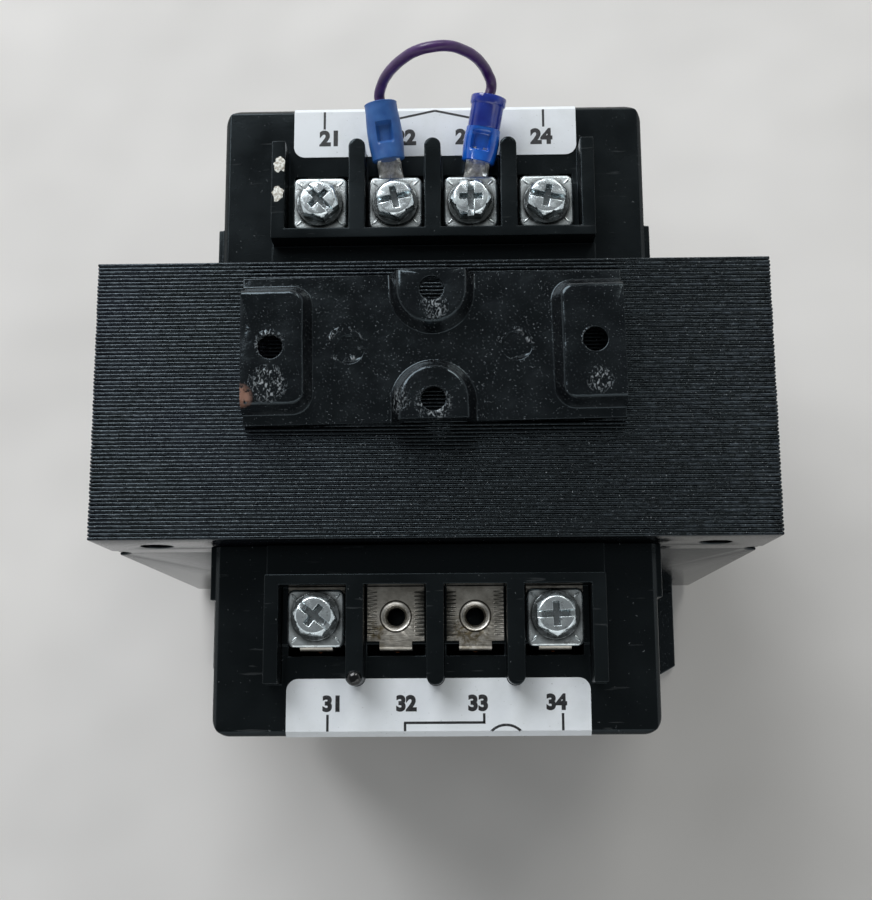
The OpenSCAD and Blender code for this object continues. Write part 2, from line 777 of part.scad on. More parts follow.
// A sleeve along Z that holds the barrel in its foot and the wire in its mouth
module sleeve(l) {
    difference() {
        cylinder(h = l, d = sleeve_d);
        translate([0, 0, -past]) cylinder(h = barrel_l + past, d = barrel_d);
        cylinder(h = l + past, d = wire_d + 2 * wire_gap);
    }
}

module jumper_sleeve_left() {
    color("#3f6fb0") translate(left_seat) rotate([sleeve_rise - 90, 0, left_lug_turn]) sleeve(left_sleeve_l);
}

module jumper_sleeve_right() {
    color("#2f57c4") translate(right_seat) rotate([sleeve_rise - 90, 0, -right_lug_turn]) {
        sleeve(right_sleeve_l);
        translate([0, 0, right_sleeve_l - sleeve_lip_l]) difference() {
            cylinder(h = sleeve_lip_l, d = sleeve_lip_d);
            translate([0, 0, -past]) cylinder(h = sleeve_lip_l + 2 * past, d = (sleeve_d + wire_d) / 2);
        }
    }
}

function unit(v) = v / norm(v);

// The direction of a route at its ith point
function heading(route, i) = unit(route[min(i + 1, len(route) - 1)] - route[max(i - 1, 0)]);

// A ring of points around a route's ith point; the side vector is never along the route
function ring(route, i, r, sides) =
    let (
        along = heading(route, i),
        across = unit(cross(along, [-0.5, 1, -0.5])),
        up = cross(along, across)
    )
    [for (k = [0:sides - 1]) route[i] + r * (across * cos(k * 360 / sides) + up * sin(k * 360 / sides))];

module tube(route, d, sides) {
    last = len(route) - 1;
    polyhedron(
        points = [for (i = [0:last]) each ring(route, i, d / 2, sides)],
        faces = concat(
            [[for (k = [0:sides - 1]) k]],
            [for (i = [0:last - 1], k = [0:sides - 1]) each [
                [i * sides + k, (i + 1) * sides + k, (i + 1) * sides + (k + 1) % sides],
                [i * sides + k, (i + 1) * sides + (k + 1) % sides, i * sides + (k + 1) % sides]
            ]],
            [[for (k = [sides - 1:-1:0]) last * sides + k]]
        )
    );
}

module jumper_wire() {
    color("#6a3fa0") tube(jumper_route, wire_d, wire_sides);
}

// A label over a cover's top, its chamfer and part of its outer face, on the far side
module label() {
    c = cover_chamfer;
    low = cover_top - label_drop;
    skew = label_t * (sqrt(2) - 1);
    y = cover_y + label_t;
    z = cover_top + label_t;
    tip = block_front + barrier_overhang - barrier_t / 2;
    color("#e9eaec") difference() {
        translate([label_shift, 0, 0]) intersection() {
            bar_along_x(label_w) polygon([
                [label_inner_y, cover_top], [cover_y - c, cover_top], [cover_y, cover_top - c],
                [cover_y, low], [y, low], [y, cover_top - c + skew],
                [cover_y - c + skew, z], [label_inner_y, z]
            ]);
            translate([0, 0, low]) linear_extrude(z - low) {
                translate([-label_w / 2, label_inner_y + label_corner_r])
                    square([label_w, y - label_inner_y - label_corner_r]);
                translate([label_corner_r - label_w / 2, label_inner_y])
                    square([label_w - 2 * label_corner_r, y - label_inner_y]);
                for (x = [-1, 1])
                    translate([x * (label_w / 2 - label_corner_r), label_inner_y + label_corner_r])
                        circle(label_corner_r);
            }
        }
        for (i = [-1:1])
            translate([i * terminal_pitch, tip, cover_top - past])
                cylinder(h = label_t + 2 * past, d = barrier_t + 2 * label_gap);
    }
}

module primary_label() {
    label();
}

module secondary_label() {
    mirror([0, 1, 0]) label();
}

e_laminations();
i_laminations();
mirror([1, 0, 0]) core_weld();  // core_weld_left
core_weld();  // core_weld_right
mirror([1, 0, 0]) mounting_foot();  // mounting_foot_left
mounting_foot();  // mounting_foot_right
fuse_block_bracket();
coil_bobbin();
secondary_winding();
winding_insulation();
primary_winding();
coil_wrap();
primary_lead_wires();
secondary_lead_wires();
primary_cover();
secondary_cover();
terminal(1);  // primary_terminal_1
terminal(2);  // primary_terminal_2
terminal(3);  // primary_terminal_3
terminal(4);  // primary_terminal_4
mirror([0, 1, 0]) terminal(1);  // secondary_terminal_1
mirror([0, 1, 0]) terminal(2);  // secondary_terminal_2
mirror([0, 1, 0]) terminal(3);  // secondary_terminal_3
mirror([0, 1, 0]) terminal(4);  // secondary_terminal_4
clamp(1);  // primary_clamp_1
clamp(2);  // primary_clamp_2
clamp(3);  // primary_clamp_3
clamp(4);  // primary_clamp_4
mirror([0, 1, 0]) clamp(1);  // secondary_clamp_1
mirror([0, 1, 0]) clamp(4);  // secondary_clamp_4
screw(1, primary_turns[0]);  // primary_screw_1
screw(2, primary_turns[1]);  // primary_screw_2
screw(3, primary_turns[2]);  // primary_screw_3
screw(4, primary_turns[3]);  // primary_screw_4
mirror([0, 1, 0]) screw(1, secondary_turns[0]);  // secondary_screw_1
mirror([0, 1, 0]) screw(4, secondary_turns[1]);  // secondary_screw_4
jumper_lug_left();
jumper_lug_right();
jumper_sleeve_left();
jumper_sleeve_right();
jumper_wire();
primary_label();
secondary_label();
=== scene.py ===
import math
import random

import bmesh
import bpy
from mathutils import Euler, Matrix, Vector, noise


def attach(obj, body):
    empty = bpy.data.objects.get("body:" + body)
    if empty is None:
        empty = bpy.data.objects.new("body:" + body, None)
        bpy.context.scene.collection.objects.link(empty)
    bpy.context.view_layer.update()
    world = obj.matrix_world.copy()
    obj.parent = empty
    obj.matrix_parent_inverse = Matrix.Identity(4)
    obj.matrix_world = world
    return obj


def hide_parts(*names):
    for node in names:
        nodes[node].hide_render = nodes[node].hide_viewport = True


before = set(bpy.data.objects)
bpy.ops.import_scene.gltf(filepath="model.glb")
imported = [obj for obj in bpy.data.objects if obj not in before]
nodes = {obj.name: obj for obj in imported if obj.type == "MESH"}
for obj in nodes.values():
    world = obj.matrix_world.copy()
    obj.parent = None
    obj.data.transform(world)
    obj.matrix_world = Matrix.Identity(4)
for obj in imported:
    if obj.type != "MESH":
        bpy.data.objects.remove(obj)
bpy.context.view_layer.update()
random.seed(7)
mm = 0.001
mergeGap = 1e-6  # vertices closer than this are one, in metres
levelGap = 0.02  # a vertex this close to a level lies on it, in millimetres
terminalRow = {"pitch": 13.3, "screwY": 36.1}  # the screws' spacing along X, and each row's place in Y


# Selection and finishing

# Selects these objects and nothing else, and returns the first
def take(*objs):
    if bpy.context.mode != "OBJECT":
        bpy.ops.object.mode_set(mode="OBJECT")
    bpy.ops.object.select_all(action="DESELECT")
    for obj in objs:
        obj.select_set(True)
    bpy.context.view_layer.objects.active = objs[0]
    return objs[0]


# Opens a piece in edit mode and selects what passes the test
def pick(obj, kind, test):
    take(obj)
    bpy.ops.object.mode_set(mode="EDIT")
    bpy.ops.mesh.select_mode(type=kind)
    bpy.ops.mesh.select_all(action="DESELECT")
    mesh = bmesh.from_edit_mesh(obj.data)
    for item in {"VERT": mesh.verts, "EDGE": mesh.edges, "FACE": mesh.faces}[kind]:
        if test(item):
            item.select_set(True)
    bmesh.update_edit_mesh(obj.data)


# A new shape from an operator that adds one
def added(operator, **settings):
    bpy.ops.object.select_all(action="DESELECT")
    operator(**settings)
    return bpy.context.object


# A curve or text as a mesh
def meshOf(line):
    obj = bpy.data.objects.new(line.name, line)
    bpy.context.scene.collection.objects.link(obj)
    take(obj)
    bpy.ops.object.convert(target="MESH")
    return bpy.context.object


def join(objs, name):
    obj = take(*objs)
    if len(objs) > 1:
        bpy.ops.object.join()
    obj.name = name
    obj.data.name = name
    return obj


def applyPlace(obj):
    take(obj)
    bpy.ops.object.transform_apply(location=True, rotation=True, scale=True)
    return obj


def applyModifier(obj, kind, **settings):
    take(obj)
    modifier = obj.modifiers.new(kind.lower(), kind)
    for name, value in settings.items():
        setattr(modifier, name, value)
    bpy.ops.object.modifier_apply(modifier=modifier.name)


# Turns every face outward and leaves edit mode
def faceOutward():
    bpy.ops.mesh.select_all(action="SELECT")
    bpy.ops.mesh.normals_make_consistent(inside=False)
    bpy.ops.object.mode_set(mode="OBJECT")


def mergeDoubles(obj):
    pick(obj, "VERT", lambda v: True)
    bpy.ops.mesh.remove_doubles(threshold=mergeGap)
    faceOutward()


# Shades a piece, gives it its material, parents it to what it moves with, and hides the solids it stands for
def finishPiece(obj, material, replaced=(), smooth=32, weighted=False):
    applyPlace(obj)
    bpy.ops.object.shade_smooth_by_angle(angle=math.radians(smooth))
    if weighted:
        applyModifier(obj, "WEIGHTED_NORMAL", weight=100, keep_sharp=True)
    obj.data.materials.clear()
    obj.data.materials.append(material)
    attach(obj, "root")
    if replaced:
        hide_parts(*replaced)


# A merged copy of a solid, ready for its edges to be rounded
def solidCopy(node, name):
    obj = nodes[node].copy()
    obj.data = nodes[node].data.copy()
    obj.parent = None
    obj.name = name
    for key in list(obj.keys()):  # the copy starts with none of the solid's own marks
        del obj[key]
    bpy.context.scene.collection.objects.link(obj)
    pick(obj, "VERT", lambda v: True)
    bpy.ops.mesh.remove_doubles(threshold=mergeGap)
    bpy.ops.object.mode_set(mode="OBJECT")
    return obj


# Opens a piece in edit mode and removes the edges that lie within its flat faces
def dissolveFlat(obj):
    pick(obj, "VERT", lambda v: True)
    bpy.ops.mesh.dissolve_limited(angle_limit=math.radians(0.3))


# Rounds the edges that pass the test, in edit mode
def roundPicked(obj, test, width, segments):
    pick(obj, "EDGE", test)
    bpy.ops.mesh.bevel(offset=width * mm, segments=segments, loop_slide=False, clamp_overlap=False)


# Rounds every edge that is sharper than `angle` degrees
def roundEdges(obj, width, segments=2, angle=28):
    applyModifier(obj, "BEVEL", width=width * mm, segments=segments, limit_method="ANGLE",
                  angle_limit=math.radians(angle), loop_slide=False, use_clamp_overlap=False)


# A round shape along Z from (height, radius) rings, in millimetres
def turned(name, rings, sides=48, closed=True):
    z, r = rings[0]
    obj = applyPlace(added(bpy.ops.mesh.primitive_circle_add, vertices=sides, radius=r * mm,
                           location=(0, 0, z * mm), fill_type="NGON" if closed else "NOTHING"))
    obj.name = name
    bpy.ops.object.mode_set(mode="EDIT")
    bpy.ops.mesh.select_all(action="SELECT")
    extrude = bpy.ops.mesh.extrude_region_move if closed else bpy.ops.mesh.extrude_edges_move
    for nextZ, nextR in rings[1:]:
        extrude(TRANSFORM_OT_translate={"value": (0, 0, (nextZ - z) * mm)})
        bpy.ops.transform.resize(value=(nextR / r, nextR / r, 1), center_override=(0, 0, nextZ * mm))
        z, r = nextZ, nextR
    faceOutward()
    return obj


# A copy with its own mesh, moved by `offset` millimetres
def ownCopy(obj, offset):
    new = obj.copy()
    new.data = obj.data.copy()
    bpy.context.scene.collection.objects.link(new)
    new.data.transform(Matrix.Translation(Vector(offset) * mm))
    return new


# Materials

# An sRGB hex colour as linear values
def colour(code):
    parts = [int(code[i:i + 2], 16) / 255 for i in (1, 3, 5)]
    return [c / 12.92 if c <= 0.04045 else ((c + 0.055) / 1.055) ** 2.4 for c in parts] + [1]


def addNode(tree, kind, inputs=None, **settings):
    node = tree.nodes.new("ShaderNode" + kind)
    for name, value in settings.items():
        setattr(node, name, value)
    for socket, value in (inputs or {}).items():
        if isinstance(value, bpy.types.NodeSocket):
            tree.links.new(value, node.inputs[socket])
        else:
            node.inputs[socket].default_value = value
    return node


# A material with its shader, and the place on the piece in metres
def newMaterial(name, **shader):
    material = bpy.data.materials.new(name)
    material.use_nodes = True
    tree = material.node_tree
    bsdf = tree.nodes["Principled BSDF"]
    for socket, value in shader.items():
        bsdf.inputs[socket.replace("_", " ")].default_value = value
    place = addNode(tree, "TexCoord").outputs["Object"]
    return material, tree, bsdf, place


def stretched(tree, place, scale):
    return addNode(tree, "Mapping", {"Vector": place, "Scale": scale}).outputs[0]


# Noise whose features are about `size` millimetres wide
def noiseOf(tree, place, size, detail=4, rough=0.55, distortion=0):
    return addNode(tree, "TexNoise", {
        "Vector": place, "Scale": 1 / (size * mm), "Detail": detail, "Roughness": rough,
        "Distortion": distortion}).outputs["Fac"]


# Goes from `fromValue` to `toValue` while the input goes from `low` to `high`, and stays there beyond
def ramp(tree, value, low, high, fromValue=0, toValue=1):
    return addNode(tree, "MapRange", {
        "Value": value, "From Min": low, "From Max": high, "To Min": fromValue, "To Max": toValue}).outputs[0]


def mixColour(tree, factor, a, b):
    node = addNode(tree, "Mix", data_type="RGBA")
    for socket, value in (("Factor", factor), ("A", a), ("B", b)):
        sockets = [s for s in node.inputs if s.name == socket and s.type in
                   (("VALUE",) if socket == "Factor" else ("RGBA",))]
        if isinstance(value, bpy.types.NodeSocket):
            tree.links.new(value, sockets[0])
        else:
            sockets[0].default_value = value
    return [s for s in node.outputs if s.type == "RGBA"][0]


def maths(tree, operation, a, b=0.0):
    return addNode(tree, "Math", {0: a, 1: b}, operation=operation).outputs[0]


def times(tree, a, b):
    return maths(tree, "MULTIPLY", a, b)


def axes(tree, place):
    return addNode(tree, "SeparateXYZ", {0: place}).outputs


# Layers of (height, depth in millimetres), one on another
def bump(tree, bsdf, layers):
    normal = None
    for height, distance in layers:
        inputs = {"Height": height, "Distance": distance * mm, "Strength": 1.0}
        if normal:
            inputs["Normal"] = normal
        normal = addNode(tree, "Bump", inputs).outputs[0]
    tree.links.new(normal, bsdf.inputs["Normal"])


# Nearness to a point on the piece: 1 within `radius` millimetres, fading to 0 at `reach`
def nearTo(tree, place, point, radius, reach, stretch=(1, 1, 1)):
    spot = [c * mm for c in point]
    offset = addNode(tree, "VectorMath", {0: place, 1: spot}, operation="SUBTRACT").outputs[0]
    scaled = addNode(tree, "VectorMath", {0: offset, 1: stretch}, operation="MULTIPLY").outputs[0]
    length = addNode(tree, "VectorMath", {0: scaled}, operation="LENGTH").outputs["Value"]
    return ramp(tree, length, radius * mm, reach * mm, 1, 0)


# A band from `start` to `end` millimetres, with a soft edge of `soft` on both sides
def band(tree, value, start, end, soft):
    return times(tree, ramp(tree, value, start * mm, (start + soft) * mm),
                 ramp(tree, value, (end - soft) * mm, end * mm, 1, 0))


# Distance from the nearest screw's axis, in metres
def fromScrew(tree, x, y):
    half = terminalRow["pitch"] / 2 * mm
    across = maths(tree, "SUBTRACT", half, maths(tree, "PINGPONG", x, half))
    along = maths(tree, "SUBTRACT", maths(tree, "ABSOLUTE", y), terminalRow["screwY"] * mm)
    return maths(tree, "SQRT", maths(tree, "ADD", times(tree, across, across), times(tree, along, along)))


# Links values to the shader's sockets
def wire(tree, bsdf, **sockets):
    for name, value in sockets.items():
        tree.links.new(value, bsdf.inputs[name.replace("_", " ")])


coolSheen = colour("#dcf4ff")  # black varnish and plastic throw back a cool light

# Where the stack's finish changes, in millimetres: its flat outer faces, its rubbed upper edges with their
# painted highlight, the levels where dust settles, how far out its ends are painted lighter, and where the
# painted light on its left side fades in
sheetLook = {
    "bead": 1.3, "cloud": 22, "dust": 0.36, "face": (23.5, 23.7), "crest": (97.08, 97.22),
    "settled": (96.9, 97.1), "left": (5, -50), "litEnds": (22, 56), "faceRough": 0.13, "beadRough": (0.09, 0.34),
}


# Silicon steel sheets under dipping varnish: dried runs make each edge a broken glossy line. The stack's left
# side and both ends are painted lighter, and its rubbed top edges carry a painted highlight
def varnishedSheets():
    material, tree, bsdf, place = newMaterial("varnished_silicon_steel", Metallic=0.0, IOR=1.5,
                                              Specular_IOR_Level=0.43, Specular_Tint=coolSheen)
    s = sheetLook
    x, y, z = axes(tree, place)

    def between(value, key, fromValue=0, toValue=1):
        return ramp(tree, value, s[key][0] * mm, s[key][1] * mm, fromValue, toValue)

    beads = noiseOf(tree, stretched(tree, place, (1, 2.4, 2.4)), s["bead"], detail=5, rough=0.62)
    cloud = noiseOf(tree, place, s["cloud"], detail=3)
    # Pale specks of dust, most of them on top, which also serve as painted glints on the varnish
    dust = ramp(tree, noiseOf(tree, place, s["dust"], detail=2), 0.68, 0.73)
    face = between(maths(tree, "ABSOLUTE", y), "face")
    # Painted light: the stack's left side is painted lighter and bluer, in patches, for the light that falls
    # on it from the left
    paintedLeftLight = mixColour(tree, times(tree, ramp(tree, cloud, 0.4, 0.6), between(x, "left")),
                     colour("#08090a"), colour("#12131c"))
    # The sheets' top edges: rubbed varnish with a painted highlight on it, broken up by the beads
    rubbedCrestHighlight = times(tree, between(z, "crest"), ramp(tree, beads, 0.44, 0.64))
    # The highlight's colour, painted lighter towards both ends of the stack, where more light falls
    crestHighlightColour = mixColour(tree, between(maths(tree, "ABSOLUTE", x), "litEnds"), colour("#14171a"), colour("#363c42"))
    paintedLightTone = mixColour(tree, rubbedCrestHighlight, paintedLeftLight, crestHighlightColour)
    shade = mixColour(tree, times(tree, dust, between(z, "settled", 0.12, 0.5)), paintedLightTone, colour("#a2a8ac"))
    rough = ramp(tree, beads, 0.35, 0.7, *s["beadRough"])
    rough = addNode(tree, "MapRange", {"Value": face, "To Min": rough, "To Max": s["faceRough"]}).outputs[0]
    wire(tree, bsdf, Base_Color=shade, Roughness=rough)
    bump(tree, bsdf, [(beads, 0.09), (noiseOf(tree, place, 0.35, detail=2), 0.01)])
    return material


# Places on the bracket where its varnish is chipped and carries painted glints, as (point, radius, reach),
# the middles and outer radius of two painted highlight rings round the pressed dimples, and the rusty corner,
# all in millimetres
plateLook = {
    "chipsAndGlints": [
        ((-27.1, 1.2, 102.2), 1.9, 3.4), ((0.3, 14.0, 102.2), 1.0, 2.5), ((27.4, 1.4, 102.2), 0.9, 2.4),
        ((-26.9, 7.9, 102.2), 1.7, 2.6), ((26.5, 8.3, 102.2), 1.6, 2.1), ((0.1, -2.4, 102.2), 1.7, 3.2),
        ((-5.8, -1.4, 101.5), 0.6, 2.6),
    ],
    "rings": [(-14.7, 8.5, 99.2), (13.6, 8.2, 99.2)],
    "ring": 2.7,
    "rust": ((-31.9, -1.2, 102.4), 1.7, 2.8, (1.1, 1, 1.6)),
    "run": 4.5, "speck": 0.24, "chip": 0.75,
}


# Pressed steel plate under the same varnish: wet-looking and smooth, with specks of dust, chipped places
# round the holes that carry painted glints, and painted highlight rings round the two pressed dimples
def varnishedPlate():
    material, tree, bsdf, place = newMaterial("varnished_pressed_steel", Metallic=0.0, IOR=1.5,
                                              Specular_IOR_Level=0.5, Specular_Tint=coolSheen)
    s = plateLook
    runs = noiseOf(tree, place, s["run"], detail=3, rough=0.5)
    specks = ramp(tree, noiseOf(tree, place, s["speck"], detail=2, rough=0.5), 0.68, 0.73)
    flakes = noiseOf(tree, stretched(tree, place, (1.3, 0.8, 1)), s["chip"], detail=3, distortion=1.5)
    chipGlintMask = nearTo(tree, place, *s["chipsAndGlints"][0])
    for spot in s["chipsAndGlints"][1:]:
        chipGlintMask = maths(tree, "MAXIMUM", chipGlintMask, nearTo(tree, place, *spot))
    broken = ramp(tree, noiseOf(tree, place, 2.6, detail=1), 0.5, 0.6)
    # Broken rings of painted highlight round the two pressed dimples
    for middle in s["rings"]:
        dimpleHighlight = maths(tree, "SUBTRACT", nearTo(tree, place, middle, s["ring"], s["ring"] + 0.5),
                        nearTo(tree, place, middle, s["ring"] - 0.6, s["ring"] - 0.1))
        chipGlintMask = maths(tree, "MAXIMUM", chipGlintMask, times(tree, dimpleHighlight, broken))
    # Chipped varnish, painted bright as a glint, together with the painted highlight rings
    glintedChips = times(tree, ramp(tree, flakes, 0.53, 0.6), chipGlintMask)
    base = mixColour(tree, ramp(tree, runs, 0.4, 0.65), colour("#07080a"), colour("#0e1012"))
    base = mixColour(tree, times(tree, specks, 0.6), base, colour("#979da1"))
    base = mixColour(tree, times(tree, glintedChips, 0.6), base, colour("#b4bbbf"))
    rust = times(tree, nearTo(tree, place, *s["rust"]),
                 ramp(tree, noiseOf(tree, place, 0.9, detail=4), 0.36, 0.46))
    base = mixColour(tree, rust, base, colour("#7d5a49"))
    rough = maths(tree, "ADD", ramp(tree, runs, 0.3, 0.7, 0.1, 0.28), times(tree, rust, 0.5))
    wire(tree, bsdf, Base_Color=base, Roughness=rough)
    bump(tree, bsdf, [(runs, 0.3), (noiseOf(tree, place, 1.6, detail=3), 0.06), (glintedChips, 0.2),
                      (specks, 0.03)])
    return material


# Injection-moulded glass-filled thermoplastic: even near-black with a soft gloss and handling marks.
# The mould's grain and the hair scratches are drawn coarser than they are, so that they show
def mouldedPlastic():
    material, tree, bsdf, place = newMaterial("moulded_thermoplastic", Metallic=0.0, IOR=1.5,
                                              Specular_IOR_Level=0.3, Specular_Tint=coolSheen)
    patches = noiseOf(tree, place, 14, detail=4)
    grain = noiseOf(tree, place, 0.45, detail=2)
    dust = ramp(tree, noiseOf(tree, place, 0.5, detail=2, rough=0.4), 0.73, 0.79)
    hairs = noiseOf(tree, stretched(tree, place, (0.12, 1, 1)), 0.8, detail=2, rough=0.5)
    scratch = ramp(tree, hairs, 0.68, 0.74)
    base = mixColour(tree, ramp(tree, patches, 0.35, 0.7), colour("#07090a"), colour("#0d1011"))
    base = mixColour(tree, times(tree, dust, 0.5), base, colour("#6f7476"))
    base = mixColour(tree, times(tree, scratch, 0.07), base, colour("#8d9294"))
    wire(tree, bsdf, Base_Color=base, Roughness=ramp(tree, patches, 0.3, 0.7, 0.18, 0.34))
    bump(tree, bsdf, [(grain, 0.012), (patches, 0.05)])
    return material


# Painted shade in the corner under a screw's head and painted shade in its recess, in millimetres from the
# screw's axis and in height
zincLook = {"corner": (3.0, 3.3, 4.1, 5.0), "low": (92.4, 93.8), "recess": (2.3, 2.5), "deep": (94.1, 94.75)}


# Zinc-plated steel: bluish silver, softly crystalline, with patches of soot, and with painted shade in the
# corner under a screw's head and in its recess
def zincPlate(name, code, roughness):
    material, tree, bsdf, place = newMaterial(name, Metallic=1.0)
    s = {key: [v * mm for v in values] for key, values in zincLook.items()}
    x, y, z = axes(tree, place)
    bloom = noiseOf(tree, place, 1.6, detail=5, rough=0.6)
    fine = noiseOf(tree, place, 0.28, detail=3)
    shade = mixColour(tree, ramp(tree, bloom, 0.38, 0.68), colour(code), colour("#d3dee0"))
    soot = ramp(tree, noiseOf(tree, place, 0.9, detail=4), 0.6, 0.7)
    shade = mixColour(tree, times(tree, soot, 0.5), shade, colour("#4a4b45"))
    away = fromScrew(tree, x, y)
    low = ramp(tree, z, *s["low"], 1, 0)
    corner = times(tree, ramp(tree, away, *s["corner"][:2]), ramp(tree, away, *s["corner"][2:], 1, 0))
    # Painted shade in the screw's driver recess
    recess = times(tree, ramp(tree, z, *s["deep"], 1, 0), ramp(tree, away, *s["recess"], 1, 0))
    # Painted shade where the screw's head meets the washer, low down
    cornerShade = times(tree, times(tree, low, corner), ramp(tree, bloom, 0.3, 0.5, 0.5, 0.85))
    shade = mixColour(tree, cornerShade, shade, colour("#262724"))
    shade = mixColour(tree, times(tree, recess, 0.6), shade, colour("#3b4145"))
    wire(tree, bsdf, Base_Color=shade, Roughness=ramp(tree, bloom, 0.3, 0.7, roughness, roughness + 0.16))
    bump(tree, bsdf, [(fine, 0.02), (bloom, 0.05)])
    return material


# Stains as (point, radius, reach), and the painted highlight on the rim and the painted shade ring round a
# tapped hole as (from, to, softness) from its axis, in millimetres
stripLook = {
    "stain": ((5.6, -38.6, 89.9), 1.6, 4.6), "faint": ((-9.6, -38.9, 89.9), 0.8, 3.4),
    "top": (88.8, 89.2), "rim": (1.75, 2.4, 0.1), "shadeRing": (2.42, 2.78, 0.12), "brush": 0.16,
}


# Nickel-plated brass strip: satin brushed across, tarnished to straw and brown near the holes.
# The brush marks are drawn at 0.16 mm, coarser than they are, so that they show
def nickelStrip():
    material, tree, bsdf, place = newMaterial("nickel_plated_brass", Metallic=1.0)
    s = stripLook
    x, y, z = axes(tree, place)
    brushed = noiseOf(tree, stretched(tree, place, (0.12, 1, 1)), s["brush"], detail=3, rough=0.5)
    cloud = noiseOf(tree, place, 2.4, detail=4)
    shade = mixColour(tree, ramp(tree, cloud, 0.35, 0.68), colour("#d6d3c9"), colour("#a39f95"))
    stain = times(tree, nearTo(tree, place, *s["stain"]),
                  ramp(tree, noiseOf(tree, place, 0.9, detail=5, rough=0.65), 0.42, 0.56))
    faint = times(tree, nearTo(tree, place, *s["faint"]),
                  ramp(tree, noiseOf(tree, place, 1.1, detail=5), 0.46, 0.6))
    shade = mixColour(tree, times(tree, maths(tree, "MAXIMUM", stain, faint), 0.75), shade,
                      colour("#5f5024"))
    away = fromScrew(tree, x, y)
    top = ramp(tree, z, s["top"][0] * mm, s["top"][1] * mm)
    # Round each tapped hole: a painted highlight on its chamfered rim, and just outside it a painted shade
    # ring
    for ring, code in (("rim", "#f1efe8"), ("shadeRing", "#2d2a25")):
        shade = mixColour(tree, times(tree, top, band(tree, away, *s[ring])), shade, colour(code))
    wire(tree, bsdf, Base_Color=shade, Roughness=ramp(tree, brushed, 0.3, 0.7, 0.26, 0.5))
    bump(tree, bsdf, [(brushed, 0.012), (cloud, 0.03)])
    return material


# Tinned copper: white-silver and soft, dulled by crimping
def tinnedCopper():
    material, tree, bsdf, place = newMaterial("tinned_copper", Metallic=0.7)
    smear = noiseOf(tree, place, 0.8, detail=4)
    shade = mixColour(tree, ramp(tree, smear, 0.4, 0.65), colour("#f4f3f0"), colour("#b9b6af"))
    wire(tree, bsdf, Base_Color=shade, Roughness=ramp(tree, smear, 0.3, 0.7, 0.24, 0.48))
    bump(tree, bsdf, [(smear, 0.04)])
    return material


# Vinyl, nylon or a drop of varnish: one body colour, slightly cloudy, with the sheen that its
# surface was left with
def vinyl(name, code, shadeCode, roughness, **shader):
    material, tree, bsdf, place = newMaterial(name, Metallic=0.0, IOR=1.53, **shader)
    cloud = noiseOf(tree, place, 2.2, detail=3)
    fine = noiseOf(tree, place, 0.3, detail=2)
    shade = mixColour(tree, ramp(tree, cloud, 0.35, 0.68), colour(code), colour(shadeCode))
    wire(tree, bsdf, Base_Color=shade, Roughness=ramp(tree, cloud, 0.3, 0.7, roughness, roughness + 0.12))
    bump(tree, bsdf, [(fine, 0.01), (cloud, 0.04)])
    return material


# Coated label stock: cool white, faintly soiled where it has been handled
def labelStock():
    material, tree, bsdf, place = newMaterial("coated_label_stock", Metallic=0.0, IOR=1.47)
    soil = noiseOf(tree, place, 7, detail=5, rough=0.6)
    fleck = ramp(tree, noiseOf(tree, place, 0.5, detail=2), 0.7, 0.75)
    shade = mixColour(tree, ramp(tree, soil, 0.45, 0.75), colour("#dfe5e9"), colour("#d3d9db"))
    shade = mixColour(tree, times(tree, fleck, 0.4), shade, colour("#8b8f8f"))
    wire(tree, bsdf, Base_Color=shade, Roughness=ramp(tree, soil, 0.3, 0.7, 0.34, 0.52))
    bump(tree, bsdf, [(noiseOf(tree, place, 3.5, detail=2), 0.02)])
    return material


# Screen ink: dense black, slightly uneven
def printInk():
    material, tree, bsdf, place = newMaterial("screen_ink", Metallic=0.0, IOR=1.5)
    patch = noiseOf(tree, place, 0.5, detail=3)
    shade = mixColour(tree, ramp(tree, patch, 0.4, 0.75), colour("#131416"), colour("#34373a"))
    wire(tree, bsdf, Base_Color=shade, Roughness=ramp(tree, patch, 0.3, 0.7, 0.4, 0.6))
    return material


# Arc weld metal: dark oxide with straw temper colours over rippled steel
def weldMetal():
    material, tree, bsdf, place = newMaterial("arc_weld_metal", Metallic=0.6)
    scale = noiseOf(tree, place, 1.4, detail=5)
    shade = mixColour(tree, ramp(tree, scale, 0.35, 0.7), colour("#2b2a29"), colour("#5a534a"))
    wire(tree, bsdf, Base_Color=shade, Roughness=ramp(tree, scale, 0.3, 0.7, 0.32, 0.6))
    bump(tree, bsdf, [(scale, 0.06)])
    return material


# Wound enamelled copper: fine turns, amber under clear enamel
def enamelledWire():
    material, tree, bsdf, place = newMaterial("enamelled_copper", Metallic=1.0, Coat_Weight=0.5)
    waves = {"Vector": place, "Scale": 1 / (5 * mm), "Distortion": 0.3, "Detail": 1.0}
    turns = addNode(tree, "TexWave", waves, wave_type="BANDS", bands_direction="Z").outputs["Fac"]
    shade = mixColour(tree, turns, colour("#6d3417"), colour("#b06a35"))
    wire(tree, bsdf, Base_Color=shade, Roughness=ramp(tree, turns, 0, 1, 0.45, 0.28))
    bump(tree, bsdf, [(turns, 0.2)])
    return material


# Kraft paper or glass tape: matt fibres under a wash of varnish
def fibreTape(name, code, shadeCode):
    material, tree, bsdf, place = newMaterial(name, Metallic=0.0, IOR=1.5)
    fibres = noiseOf(tree, stretched(tree, place, (1, 1, 4)), 0.9, detail=5, rough=0.5)
    shade = mixColour(tree, ramp(tree, fibres, 0.35, 0.7), colour(code), colour(shadeCode))
    wire(tree, bsdf, Base_Color=shade, Roughness=ramp(tree, fibres, 0.3, 0.7, 0.45, 0.75))
    bump(tree, bsdf, [(fibres, 0.08)])
    return material


